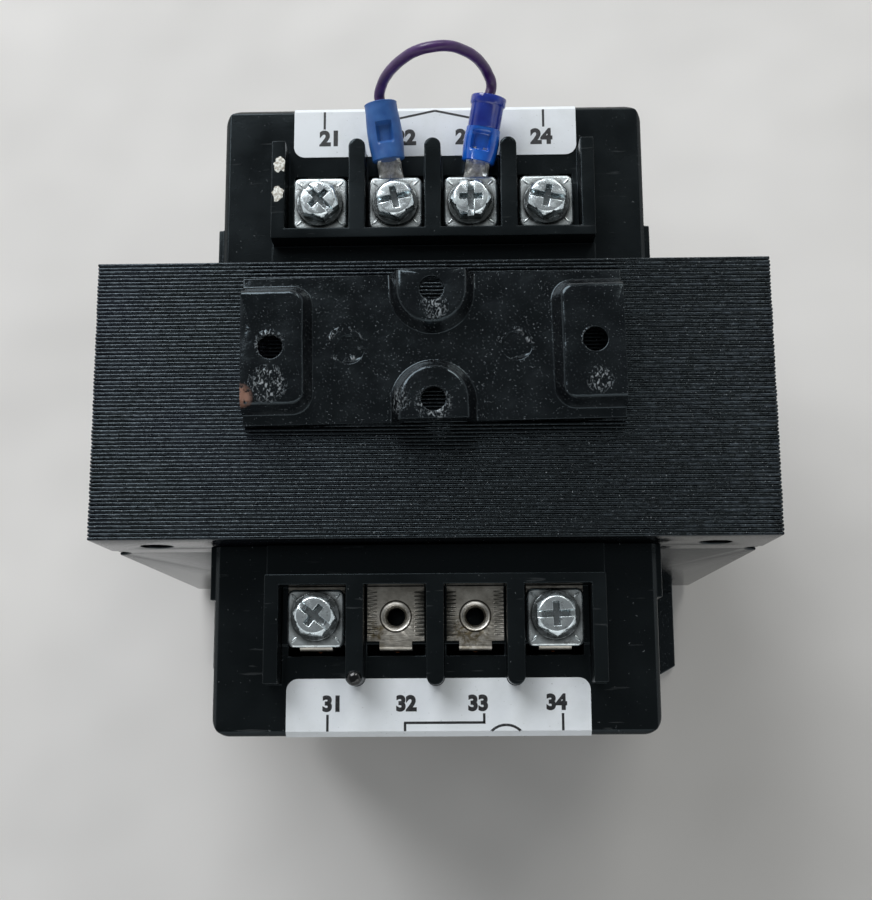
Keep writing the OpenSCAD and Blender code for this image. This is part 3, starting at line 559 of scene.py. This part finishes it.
sheetsFinish = varnishedSheets()
plateFinish = varnishedPlate()
coverFinish = mouldedPlastic()
screwFinish = zincPlate("blue_zinc_screw", "#f0fbff", 0.19)
clampFinish = zincPlate("grey_zinc_washer", "#f4fcfd", 0.24)
stripFinish = nickelStrip()
lugFinish = tinnedCopper()
matteSleeve = vinyl("matt_blue_vinyl", "#265292", "#3263a2", 0.36)  # greyish blue with a broad dull sheen
glossSleeve = vinyl("gloss_blue_nylon", "#172b8c", "#1e3a9e", 0.16, Coat_Weight=0.4)  # deep and shiny
clearSleeve = vinyl("clear_blue_nylon", "#0c4eb4", "#1764c6", 0.1, Coat_Weight=0.7)  # as if lit through
wireFinish = vinyl("purple_pvc", "#34184f", "#45255f", 0.28)  # dark purple with one soft line of light
dropFinish = vinyl("dried_varnish", "#060708", "#0b0d0e", 0.05)  # black and wet-looking
labelFinish = labelStock()
inkFinish = printInk()
weldFinish = weldMetal()
copperFinish = enamelledWire()
paperFinish = fibreTape("kraft_insulation", "#b89f68", "#9c834f")
tapeFinish = fibreTape("varnished_glass_tape", "#3a3935", "#55524b")
print("materials made")


# Camera

cameraSet = {
    "place": (4.538, -50.520, 316.582),  # mm
    "turn": (10.6637, 1.1446, -0.3303),  # degrees
    "lens": 53.89,
    "sensor": 36,
    "near": 0.01,  # m
}
camera = bpy.data.objects.new("camera", bpy.data.cameras.new("camera"))
camera.location = Vector(cameraSet["place"]) * mm
camera.rotation_euler = [math.radians(a) for a in cameraSet["turn"]]
camera.data.lens = cameraSet["lens"]
camera.data.sensor_width = cameraSet["sensor"]
camera.data.clip_start = cameraSet["near"]
bpy.context.scene.collection.objects.link(camera)
bpy.context.scene.camera = camera


# Jumper: a wire loop between two insulated ring lugs

jumperSet = {
    "wire": 1.87,
    "route": [
        (-8.485, 49.154, 93.223), (-9.138, 53.803, 94.221), (-9.3, 55, 94.7), (-8.7, 56.3, 96.5),
        (-7.6, 56.8, 99.3), (-6.2, 56.9, 102.2), (-4.7, 56.9, 104.7), (-2.4, 56.9, 107.4),
        (0.3, 57, 108.6), (3, 57.6, 107.7), (5.6, 58.2, 104.9), (7.3, 58.4, 102.5), (8.7, 58.4, 99.6),
        (9.8, 57.9, 96.9), (10.5, 56.6, 95.1), (10.066, 54.531, 94.533), (8.943, 48.471, 93.223),
    ],
    "leftSeat": (-7.750, 43.923, 92.10),
    "rightSeat": (7.980, 43.278, 92.10),
    "leftTurn": 8,
    "rightTurn": -10.5,
    "rise": 12,
}


# Lays a piece that was made along Z on its sleeve's axis, with its start at the seat
def alongSleeve(obj, side):
    seat = Vector(jumperSet[side + "Seat"]) * mm
    turn = Euler([math.radians(a) for a in (jumperSet["rise"] - 90, 0, jumperSet[side + "Turn"])])
    obj.data.transform(Matrix.Translation(seat) @ turn.to_matrix().to_4x4())


def makeWire():
    line = bpy.data.curves.new("jumper_wire", "CURVE")
    line.dimensions = "3D"
    line.bevel_depth = jumperSet["wire"] / 2 * mm
    line.bevel_resolution = 6
    line.use_fill_caps = True
    spline = line.splines.new("BEZIER")
    spline.bezier_points.add(len(jumperSet["route"]) - 1)
    for point, place in zip(spline.bezier_points, jumperSet["route"]):
        point.co = Vector(place) * mm
        point.handle_left_type = point.handle_right_type = "AUTO"
    spline.resolution_u = 8
    obj = bpy.data.objects.new("jumper_cord", line)
    bpy.context.scene.collection.objects.link(obj)
    line.materials.append(wireFinish)
    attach(obj, "root")
    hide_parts("jumper_wire")
    return obj


# Each sleeve's rings as (distance along it, radius), and its crimp mark as (middle, half length,
# half width, depth, spread)
sleeveSet = {
    "left": {
        "rings": [(0, 2.1), (0, 2.7), (0.15, 2.86)] + [(i * 0.3, 2.86) for i in range(2, 34)]
                 + [(10.05, 2.9), (10.2, 2.75), (10.2, 1.2), (8.6, 1.0)],
        "crimp": (4.7, 1.9, 1.35, 1.15, 0.085),
    },
    "grip": {
        "rings": [(6.0, 2.55), (6.0, 2.75), (6.25, 2.86), (9.9, 2.86), (10.15, 3.02), (10.3, 3.12),
                  (11.4, 3.15), (11.6, 3.08), (11.7, 2.9), (11.6, 2.6), (9.0, 1.3)],
    },
    "foot": {
        "rings": [(0, 2.2), (0, 2.7), (0.12, 2.84)] + [(i * 0.25, 2.84) for i in range(1, 25)]
                 + [(6.2, 2.6)],
        "crimp": (3.6, 1.75, 1.6, 1.2, 0.11),
    },
    "reach": 2.1,  # how far a sleeve spreads beside its mark, in half lengths of the mark
    "endSoft": 0.45, "sideSoft": 0.4,
}


# Presses a crimp mark into a sleeve: the side that faces up is pushed in, and the sleeve spreads sideways
def crimp(obj, middle, halfLength, halfWidth, depth, spread):
    s = sleeveSet
    for v in obj.data.vertices:
        x, y, z = (c / mm for c in v.co)
        near = max(0, 1 - ((z - middle) / (halfLength * s["reach"])) ** 2)
        v.co.x *= 1 + spread * near
        v.co.y *= 1 - spread * near
        endwise = min(1, max(0, (halfLength - abs(z - middle)) / s["endSoft"]))
        edge = endwise * min(1, max(0, (halfWidth - abs(x)) / s["sideSoft"]))
        if y < 0:
            v.co.y += depth * mm * edge * edge * (3 - 2 * edge)


def makeSleeve(name, shape, side, material):
    sleeve = turned(name, sleeveSet[shape]["rings"], sides=64)
    if "crimp" in sleeveSet[shape]:
        crimp(sleeve, *sleeveSet[shape]["crimp"])
    alongSleeve(sleeve, side)
    finishPiece(sleeve, material, ["jumper_sleeve_" + side], smooth=40)
    return sleeve


# In millimetres, with the neck's rolled part measured from the sleeve's start
lugSet = {
    "ring": 3.5, "hole": 1.95, "thick": 0.5, "level": 89.95, "rim": 0.08, "chamfer": 0.1,
    "start": 2.6, "flatEnd": 5.2, "rolled": 1.2, "end": 2.2,
    "flatAngle": 0.06, "rollAngle": 2.7, "half": 2.15, "waist": 0.5, "widen": 1.9,
    "rampFrom": 1.8, "lift": 0.25,
}


# A lug's neck is one strip that starts flat on the terminal and rolls up into the barrel
def makeLug(side, index):
    s = lugSet
    screw = Vector(((index - 2.5) * terminalRow["pitch"], terminalRow["screwY"], 0))
    turn = math.radians(jumperSet[side + "Turn"])
    seat = Vector(jumperSet[side + "Seat"])
    setback = (screw - Vector((seat.x, seat.y, 0))).length
    rise = math.radians(jumperSet["rise"])
    neck = added(bpy.ops.mesh.primitive_grid_add, x_subdivisions=20, y_subdivisions=28, size=1)
    start, end = s["start"], setback + s["end"]
    for v in neck.data.vertices:
        across, along = 2 * v.co.x, start + (v.co.y + 0.5) * (end - start)
        roll = min(1, max(0, (along - s["flatEnd"]) / (setback + s["rolled"] - s["flatEnd"])))
        roll = roll * roll * (3 - 2 * roll)
        angle = s["flatAngle"] + roll * s["rollAngle"]
        half = s["half"] - s["waist"] * math.sin(math.pi * min(1, roll * 1.4)) + roll * s["widen"]
        radius = half / angle
        height = max(0, along - setback + s["rampFrom"]) * math.tan(rise)
        v.co = (radius * math.sin(angle * across) * mm,
                along * mm,
                (radius * (1 - math.cos(angle * across)) + height + s["lift"]) * mm)
    applyModifier(neck, "SOLIDIFY", thickness=s["thick"] * mm, offset=0)
    outer, flat, thick, rim = s["ring"], s["ring"] - s["chamfer"], s["thick"], s["rim"]
    ring = turned("ring", [(0, flat), (rim, outer), (thick - rim, outer), (thick, flat), (thick, s["hole"]),
                           (0, s["hole"]), (0, flat)], closed=False)
    mergeDoubles(ring)
    lug = join([neck, ring], "lug_" + side)
    place = Matrix.Translation((screw + Vector((0, 0, s["level"]))) * mm)
    lug.data.transform(place @ Matrix.Rotation(turn, 4, "Z"))
    finishPiece(lug, lugFinish, ["jumper_lug_" + side], smooth=40)
    return lug


cord = makeWire()
lugs = [makeLug("left", 2), makeLug("right", 3)]
sleeves = [makeSleeve("sleeve_left", "left", "left", matteSleeve),
           makeSleeve("sleeve_right_grip", "grip", "right", glossSleeve),
           makeSleeve("sleeve_right_crimp", "foot", "right", clearSleeve)]
print("jumper made")


# Core sheets, stacked one by one

coreSet = {
    "halfWidth": 57.15, "bottom": 2.0, "top": 97.25, "joint": 78.2, "leg": 19.05, "windowOut": 38.1,
    "windowBottom": 21.05, "count": 74, "stack": 47.6, "thick": 0.6, "edge": 0.2, "holeInset": 9.525,
    "hole": 2.8, "weldX": 57.65, "weldR": 3.2,
    "sideways": 0.05, "drop": 0.07,  # how far a single sheet may stand out of line
    "wave": 0.06, "waveX": 160, "waveY": 1.3, "waveDepth": 0.6,
}


# Points along an arc, its angles in degrees
def arc(cx, cz, r, start, end, steps):
    turn = [math.radians(start + (end - start) * i / steps) for i in range(steps + 1)]
    return [(cx + r * math.cos(a), cz + r * math.sin(a)) for a in turn]


# An upright sheet from outlines in X and Z, with its edges rounded
def flatShape(name, outlines, halfThick, edge):
    line = bpy.data.curves.new(name, "CURVE")
    line.dimensions = "2D"
    line.fill_mode = "BOTH"
    line.extrude = (halfThick - edge) * mm
    line.bevel_depth = edge * mm
    line.bevel_resolution = 1
    line.offset = -edge * mm
    for outline in outlines:
        spline = line.splines.new("POLY")
        spline.points.add(len(outline) - 1)
        for point, (x, z) in zip(spline.points, outline):
            point.co = (x * mm, z * mm, 0, 1)
        spline.use_cyclic_u = True
    obj = meshOf(line)
    obj.rotation_euler = (math.radians(90), 0, 0)
    applyPlace(obj)
    mergeDoubles(obj)
    return obj


def sheetOutlines():
    s = coreSet
    w, j, r = s["halfWidth"], s["joint"], s["weldR"]
    dip = math.degrees(math.acos((s["weldX"] - w) / r))
    low = arc(s["weldX"], j, r, 180 + dip, 180, 6)
    high = arc(s["weldX"], j, r, 180, 180 - dip, 6)
    topEdge = [(w - i * 2 * w / 44, s["top"]) for i in range(45)]
    window = [(s["windowOut"], j), (s["windowOut"], s["windowBottom"]), (s["leg"], s["windowBottom"]),
              (s["leg"], j)]

    def mirrored(points):
        return [(-x, z) for x, z in reversed(points)]

    def holes(z):
        return [arc(side * (w - s["holeInset"]), z, s["hole"], 0, 345, 23) for side in (-1, 1)]

    yoke = high + topEdge + mirrored(high)
    legs = [(-w, s["bottom"]), (w, s["bottom"])] + low + window + mirrored(window) + mirrored(low)
    return [yoke] + holes(s["top"] - s["holeInset"]), [legs] + holes(s["bottom"] + s["holeInset"])


def makeStack(name, outlines, node, wavy):
    s = coreSet
    first = flatShape(name, outlines, s["thick"] / 2, s["edge"])
    pitch = s["stack"] / s["count"]
    sheets = []
    for i in range(s["count"]):
        y = (i + 0.5) * pitch - s["stack"] / 2
        sideways = random.uniform(-s["sideways"], s["sideways"])
        sheet = ownCopy(first, (sideways, y, random.uniform(-s["drop"], 0.0)))
        if wavy:
            for v in sheet.data.vertices:
                if v.co.z > (s["top"] - s["waveDepth"]) * mm:
                    wave = noise.noise(Vector((v.co.x * s["waveX"], y * s["waveY"], 0))) - 0.4
                    v.co.z += s["wave"] * mm * wave
        sheets.append(sheet)
    bpy.data.objects.remove(first)
    finishPiece(join(sheets, name), sheetsFinish, [node], smooth=50)


yokeOutlines, legOutlines = sheetOutlines()
makeStack("yoke_sheets", yokeOutlines, "i_laminations", True)
makeStack("leg_sheets", legOutlines, "e_laminations", False)
print("core sheets stacked")


# Weld beads along the side joints

# Each bead is a rippled rod in the sheets' grooves: it bows up along its middle, and its outer side is
# pressed nearly flat where it stands proud of the core
weldSet = {
    "length": 46.4, "ripple": 1.3, "crest": (0.35, 0.95), "trough": 0.14, "bow": 0.8, "endGap": 0.4,
    "flatFrom": 57.22, "flatten": 0.94,
}


def makeWeld(side, label):
    s, r = weldSet, coreSet["weldR"]
    rings = []
    for i in range(int(s["length"] / s["ripple"])):
        base = i * s["ripple"]
        rings += [(base, r - s["trough"]), (base + s["crest"][0], r), (base + s["crest"][1], r - 0.03)]
    rings.append((s["length"], r - 0.3))
    bead = turned("core_weld_bead_" + label, rings, sides=32)
    for v in bead.data.vertices:
        x, y, z = v.co
        inside = 0.01 * mm < z < (s["length"] - s["endGap"]) * mm
        bow = s["bow"] * mm * (1 - (y / (r * mm)) ** 2) if inside else 0
        x += coreSet["weldX"] * mm
        x -= max(0, x - s["flatFrom"] * mm) * s["flatten"]
        v.co = (side * x, z - s["length"] / 2 * mm + bow, coreSet["joint"] * mm - y)
    pick(bead, "FACE", lambda f: True)
    faceOutward()
    finishPiece(bead, weldFinish, ["core_weld_" + label], smooth=40)


makeWeld(-1, "left")
makeWeld(1, "right")
print("welds laid")


# Feet and fuse block bracket

footRound = 0.3  # mm

for label in ("left", "right"):
    foot = solidCopy("mounting_foot_" + label, "foot_" + label)
    roundEdges(foot, footRound)
    finishPiece(foot, plateFinish, ["mounting_foot_" + label], smooth=60, weighted=True)

# Levels and roundings in millimetres, the space within the bracket's rim as (half width, front,
# back), and its turn in degrees about its own middle
bracketSet = {
    "plateTop": 99.25, "tabTop": 102.25, "tabRound": 0.6, "foot": 0.25, "rim": 0.2,
    "inside": (31.4, -4.5, 20.3), "turn": 0.8, "middle": (0, 7.9, 0),
}


# The tabs' tops, their feet and the rims of the holes are rounded by different widths
def makeBracket():
    s = bracketSet
    bracket = solidCopy("fuse_block_bracket", "bracket")
    dissolveFlat(bracket)

    def level(edge, z):
        return all(abs(v.co.z / mm - z) < levelGap for v in edge.verts)

    def sloped(edge):
        return any(0.2 < f.normal.z < 0.95 for f in edge.link_faces)

    def upright(edge):
        steep = [abs(f.normal.z) for f in edge.link_faces]
        return max(steep) > 0.95 and min(steep) < 0.05

    def inside(edge):
        x, low, high = s["inside"]
        return all(abs(v.co.x) < x * mm and low * mm < v.co.y < high * mm for v in edge.verts)

    def onRim(edge):
        return upright(edge) and (level(edge, s["plateTop"]) or level(edge, s["tabTop"]) and inside(edge))

    roundPicked(bracket, lambda e: level(e, s["tabTop"]) and sloped(e), s["tabRound"], 4)
    roundPicked(bracket, lambda e: level(e, s["plateTop"]) and sloped(e), s["foot"], 3)
    roundPicked(bracket, onRim, s["rim"], 2)
    bpy.ops.object.mode_set(mode="OBJECT")
    middle = Matrix.Translation(Vector(s["middle"]) * mm)
    bracket.data.transform(middle @ Matrix.Rotation(math.radians(s["turn"]), 4, "Z") @ middle.inverted())
    finishPiece(bracket, plateFinish, ["fuse_block_bracket"], smooth=60, weighted=True)


makeBracket()
print("feet and bracket pressed")


# Covers

coverRound = 0.22  # mm

for side in ("primary", "secondary"):
    cover = solidCopy(side + "_cover", side + "_cover_moulding")
    roundEdges(cover, coverRound)
    finishPiece(cover, coverFinish, [side + "_cover"], smooth=60, weighted=True)
print("covers moulded")


# Terminals, clamps and screws

hardwareSet = {
    "stripTop": 89.95, "grooveFloor": 89.85, "grooveShown": 0.05, "stripRound": 0.05, "round": 0.1,
    "threadPitch": 0.7, "threadOuter": 1.79, "threadInner": 1.55, "threadTurns": 5, "threadBelow": 0.65,
    "clampTop": 91.25, "clampShift": 0.3, "clampRim": 0.5,
    "ribFrom": 4.3, "ribTo": 5.75, "ribHigh": 0.13, "ribWide": 0.22,
}


# Ridges inside a bare terminal's hole, in place of its thread
def makeThread(n):
    s = hardwareSet
    top, root = s["stripTop"] - s["threadBelow"], s["threadOuter"] - 0.03
    rings = []
    for i in range(s["threadTurns"]):
        z = top - (s["threadTurns"] - i) * s["threadPitch"]
        rings += [(z, root), (z + s["threadPitch"] / 2, s["threadInner"])]
    rings += [(top - 0.01, root), (top - 0.01, s["threadOuter"]), (rings[0][0], s["threadOuter"]), rings[0]]
    thread = turned("thread", rings, sides=40, closed=False)
    mergeDoubles(thread)
    place = Vector(((n - 2.5) * terminalRow["pitch"], -terminalRow["screwY"], 0))
    thread.data.transform(Matrix.Translation(place * mm))
    return thread


def makeStrip(side, n):
    s = hardwareSet
    node = "%s_terminal_%d" % (side, n)
    strip = solidCopy(node, "%s_strip_%d" % (side, n))
    for v in strip.data.vertices:
        if abs(v.co.z / mm - s["grooveFloor"]) < levelGap:
            v.co.z = (s["stripTop"] - s["grooveShown"]) * mm
    roundEdges(strip, s["stripRound"], 1, 40)
    if side == "secondary" and n in (2, 3):
        strip = join([strip, makeThread(n)], strip.name)
    finishPiece(strip, stripFinish, [node], smooth=30, weighted=True)


# A square washer with a bent rim and four short ribs that are pressed up along its diagonals
def makeClamp(side, n):
    s = hardwareSet
    node = "%s_clamp_%d" % (side, n)
    clamp = solidCopy(node, "%s_washer_%d" % (side, n))
    sign = 1 if side == "primary" else -1
    y = sign * (terminalRow["screwY"] + s["clampShift"])
    centre = Vector(((n - 2.5) * terminalRow["pitch"], y, s["clampTop"]))

    def onRim(edge):
        high = all(v.co.z / mm > s["clampTop"] - levelGap for v in edge.verts)
        outer = all((v.co / mm - centre).length > s["ribFrom"] for v in edge.verts)
        return high and outer and edge.calc_face_angle(0) > 1

    dissolveFlat(clamp)
    roundPicked(clamp, onRim, s["clampRim"], 4)
    bpy.ops.object.mode_set(mode="OBJECT")
    roundEdges(clamp, s["round"])
    parts = [clamp]
    for i in range(4):
        turn = math.radians(45 + 90 * i)
        rib = added(bpy.ops.mesh.primitive_uv_sphere_add, segments=16, ring_count=8, radius=1)
        reach = (s["ribFrom"] + s["ribTo"]) / 2
        rib.scale = [c * mm for c in ((s["ribTo"] - s["ribFrom"]) / 2, s["ribWide"], s["ribHigh"])]
        rib.rotation_euler = (0, 0, turn)
        rib.location = (centre + Vector((math.cos(turn), math.sin(turn), 0)) * reach) * mm
        parts.append(applyPlace(rib))
    finishPiece(join(parts, clamp.name), clampFinish, [node], smooth=60, weighted=True)


def makeScrew(side, n):
    node = "%s_screw_%d" % (side, n)
    screw = solidCopy(node, "%s_head_%d" % (side, n))
    roundEdges(screw, hardwareSet["round"])
    finishPiece(screw, screwFinish, [node], smooth=45, weighted=True)


for side, fitted in (("primary", (1, 2, 3, 4)), ("secondary", (1, 4))):
    for n in (1, 2, 3, 4):
        makeStrip(side, n)
    for n in fitted:
        makeClamp(side, n)
        makeScrew(side, n)
print("hardware fitted")


# A drop of varnish that dried on a barrier's tip, and two flecks of pale paint

dripSet = {
    "place": (-13.3, -46.3, 93.6), "radii": (1.35, 1.3, 1.15), "rough": 0.05, "seed": 3,
    "flecks": [((-26.75, 42.7, 93.95), (1.0, 1.25, 0.12)), ((-27.05, 37.3, 93.95), (0.95, 1.3, 0.12))],
    "fleckRough": 0.5, "fleckSeed": 9,
}


# A ball that is stretched to its radii and made uneven by `rough`
def makeBlob(name, place, radii, rough, seed):
    blob = added(bpy.ops.mesh.primitive_uv_sphere_add, segments=32, ring_count=20, radius=1)
    for v in blob.data.vertices:
        v.co *= 1 + rough * noise.noise(v.co * 1.7 + Vector((seed, 0, 0)))
        v.co = Vector([c * r for c, r in zip(v.co, radii)]) * mm + Vector(place) * mm
    blob.name = name
    return blob


# Flecks of old paint: chalky, off-white and crusted
def fleckFinish():
    material, tree, bsdf, place = newMaterial("dried_paint", Metallic=0.0, IOR=1.5)
    crust = noiseOf(tree, place, 0.45, detail=4)
    shade = mixColour(tree, ramp(tree, crust, 0.42, 0.58), colour("#e2e5df"), colour("#a8a397"))
    wire(tree, bsdf, Base_Color=shade, Roughness=ramp(tree, crust, 0.3, 0.7, 0.45, 0.7))
    bump(tree, bsdf, [(crust, 0.1)])
    return material


drip = makeBlob("varnish_drip", dripSet["place"], dripSet["radii"], dripSet["rough"], dripSet["seed"])
finishPiece(drip, dropFinish, (), smooth=80)
flecks = [makeBlob("fleck", place, radii, dripSet["fleckRough"], i * dripSet["fleckSeed"])
          for i, (place, radii) in enumerate(dripSet["flecks"])]
finishPiece(join(flecks, "paint_flecks"), fleckFinish(), (), smooth=80)
print("drips added")


# Labels and their print

# Numbers as (text, x, y, height), lines over the label's edge as (x, start, lowest z), lines on its
# top as (start, end), and the circle as (x, distance along the folded label, radius)
labelSet = {
    "top": 88.4, "face": 55.85, "fold": 0.9, "ink": 0.015, "gap": 0.005, "line": 0.42, "weight": 0.055,
    "far": {
        "side": 1,
        "numbers": [("21", -18.5, 49.9, 3.05), ("22", -5.0, 49.9, 3.05), ("23", 6.0, 49.9, 3.05),
                    ("24", 19.5, 49.8, 3.05)],
        "edges": [(-19.55, 51.6, 70), (19.9, 51.6, 70)],
        "lines": [((-6.3, 53.5), (0.4, 54.95)), ((0.4, 54.95), (6.8, 53.5))],
    },
    "near": {
        "side": -1,
        "numbers": [("31", -17.3, -50.4, 2.75), ("32", -5.0, -50.4, 2.75), ("33", 7.0, -50.4, 2.75),
                    ("34", 20.0, -50.3, 2.75)],
        "edges": [(-18.1, 52.2, 66), (21.05, 52.15, 66), (-5.18, 53.6, 66)],
        "lines": [((7.98, -52.1), (7.98, -53.8)), ((8.15, -53.6), (-5.36, -53.6))],
    },
    "circle": (11.6, 57.45, 3.45),
}


def numberPlate(body, x, y, high):
    line = bpy.data.curves.new("number", "FONT")
    line.body = body
    line.align_x = "CENTER"
    line.align_y = "CENTER"
    line.size = 1
    line.offset = labelSet["weight"]
    obj = meshOf(line)
    heights = [v.co.y for v in obj.data.vertices]
    scale = high * mm / (max(heights) - min(heights))
    middle = (max(heights) + min(heights)) / 2
    obj.scale = (scale, scale, scale)
    obj.location = (x * mm, y * mm - middle * scale, (labelSet["top"] + labelSet["gap"]) * mm)
    return applyPlace(obj)


# One printed line on the label's top or outer face, from one point to another
def stroke(start, end, normal):
    a, b, n = Vector(start) * mm, Vector(end) * mm, Vector(normal).normalized()
    along = (b - a).normalized()
    across = n.cross(along)
    obj = added(bpy.ops.mesh.primitive_plane_add, size=1)
    place = Matrix((across, along, n)).transposed().to_4x4()
    place.translation = (a + b) / 2 + n * labelSet["gap"] * mm
    size = Matrix.Diagonal((labelSet["line"] * mm, (b - a).length, 1, 1))
    obj.data.transform(place @ size)
    return obj


# One printed line from the label's top over its fold and down its outer face
def overEdge(x, side, start, low):
    t, f, c = labelSet["top"], labelSet["face"], labelSet["fold"]
    return [stroke((x, side * start, t), (x, side * (f - c), t), (0, 0, 1)),
            stroke((x, side * (f - c), t), (x, side * f, t - c), (0, side, 1)),
            stroke((x, side * f, t - c), (x, side * f, low), (0, side, 0))]


# A circle drawn on the near label where it folds from the top to the outer face
def foldedCircle():
    t, f, c = labelSet["top"], labelSet["face"], labelSet["fold"]
    x, y, r = labelSet["circle"]
    slope = c * math.sqrt(2)
    folds = [math.asin((y - (f - c)) / r), math.asin((y - (f - c) - slope) / r)]
    spans = [(folds[1], folds[0], 2, (0, -1, 1)), (folds[0], math.pi - folds[0], 8, (0, 0, 1)),
             (math.pi - folds[0], math.pi - folds[1], 2, (0, -1, 1)),
             (math.pi - folds[1], 2 * math.pi + folds[1], 16, (0, -1, 0))]

    def folded(angle):
        past = y - r * math.sin(angle) - (f - c)
        on = min(max(past, 0), slope) / math.sqrt(2)
        return (x + r * math.cos(angle), -(f - c) - min(past, 0) - on, t - on - max(0, past - slope))

    strokes = []
    for start, end, steps, normal in spans:
        turns = [start + (end - start) * i / steps for i in range(steps + 1)]
        strokes += [stroke(folded(a), folded(b), normal) for a, b in zip(turns, turns[1:])]
    return strokes


def labelStrokes(label):
    t = labelSet["top"]
    strokes = []
    for x, start, low in label["edges"]:
        strokes += overEdge(x, label["side"], start, low)
    return strokes + [stroke((*start, t), (*end, t), (0, 0, 1)) for start, end in label["lines"]]


def makePrint(name, label, strokes):
    ink = join([numberPlate(*n) for n in label["numbers"]] + strokes, name)
    applyModifier(ink, "SOLIDIFY", thickness=labelSet["ink"] * mm, offset=1)
    finishPiece(ink, inkFinish)


farStrokes = labelStrokes(labelSet["far"])
nearStrokes = labelStrokes(labelSet["near"]) + foldedCircle()
makePrint("primary_print", labelSet["far"], farStrokes)
makePrint("secondary_print", labelSet["near"], nearStrokes)
print("labels printed")


# Solids that show as they are

for name, finish in {
    "coil_bobbin": coverFinish, "secondary_winding": copperFinish, "primary_winding": copperFinish,
    "winding_insulation": paperFinish, "coil_wrap": tapeFinish, "primary_lead_wires": copperFinish,
    "secondary_lead_wires": copperFinish, "primary_label": labelFinish, "secondary_label": labelFinish,
}.items():
    nodes[name].data.materials.clear()
    nodes[name].data.materials.append(finish)


# Floor, surroundings and light

# The room's glow falls from `horizon` to `zenith` between two heights of the view direction
stageSet = {
    "floor": 12.0, "floorRough": 0.75, "floorCode": "#dddcd9", "foldCode": "#d3d2cf", "fold": 60,
    "horizon": 0.9, "zenith": 0.17, "glow": (0.1, 0.6), "glowCode": "#f4f6f8",
}

# (place, aim, size in metres, power in watts, colour)
lampSet = {
    "key": ((-0.6, 1.0, 0.95), (-0.04, 0.03, 0), (1.1, 0.8), 20.5, "#fbfcff"),
    "fill": ((0.5, 1.0, 0.95), (0.04, 0.03, 0), (0.36, 0.5), 3.4, "#fffdf8"),
    "front": ((0.35, -1.05, 0.8), (0, 0, 0.05), (2.0, 0.5), 3.5, "#ffffff"),
}


def makeStage():
    floor = added(bpy.ops.mesh.primitive_plane_add, size=stageSet["floor"])
    floor.name = "floor"
    # Pale matt paper, faintly uneven
    material, tree, bsdf, place = newMaterial("pale_paper", Roughness=stageSet["floorRough"])
    fold = noiseOf(tree, place, stageSet["fold"], detail=2)
    shade = mixColour(tree, ramp(tree, fold, 0.35, 0.7), colour(stageSet["floorCode"]),
                      colour(stageSet["foldCode"]))
    wire(tree, bsdf, Base_Color=shade)
    bump(tree, bsdf, [(fold, 3.0)])
    floor.data.materials.append(material)


def makeWorld():
    world = bpy.data.worlds.new("room")
    world.use_nodes = True
    tree = world.node_tree
    height = axes(tree, addNode(tree, "TexCoord").outputs["Generated"])["Z"]
    glow = ramp(tree, height, *stageSet["glow"], stageSet["horizon"], stageSet["zenith"])
    background = tree.nodes["Background"]
    background.inputs["Color"].default_value = colour(stageSet["glowCode"])
    tree.links.new(glow, background.inputs["Strength"])
    bpy.context.scene.world = world


def addLamp(name, place, aim, size, power, code):
    lamp = bpy.data.lights.new(name, "AREA")
    lamp.shape = "RECTANGLE"
    lamp.size, lamp.size_y = size
    lamp.energy = power
    lamp.color = colour(code)[:3]
    obj = bpy.data.objects.new(name, lamp)
    obj.location = place
    obj.rotation_euler = (Vector(aim) - Vector(place)).to_track_quat("-Z", "Y").to_euler()
    bpy.context.scene.collection.objects.link(obj)


makeStage()
makeWorld()
for name, lamp in lampSet.items():
    addLamp(name, *lamp)
bpy.context.scene.view_settings.view_transform = "Standard"
print("lights placed")
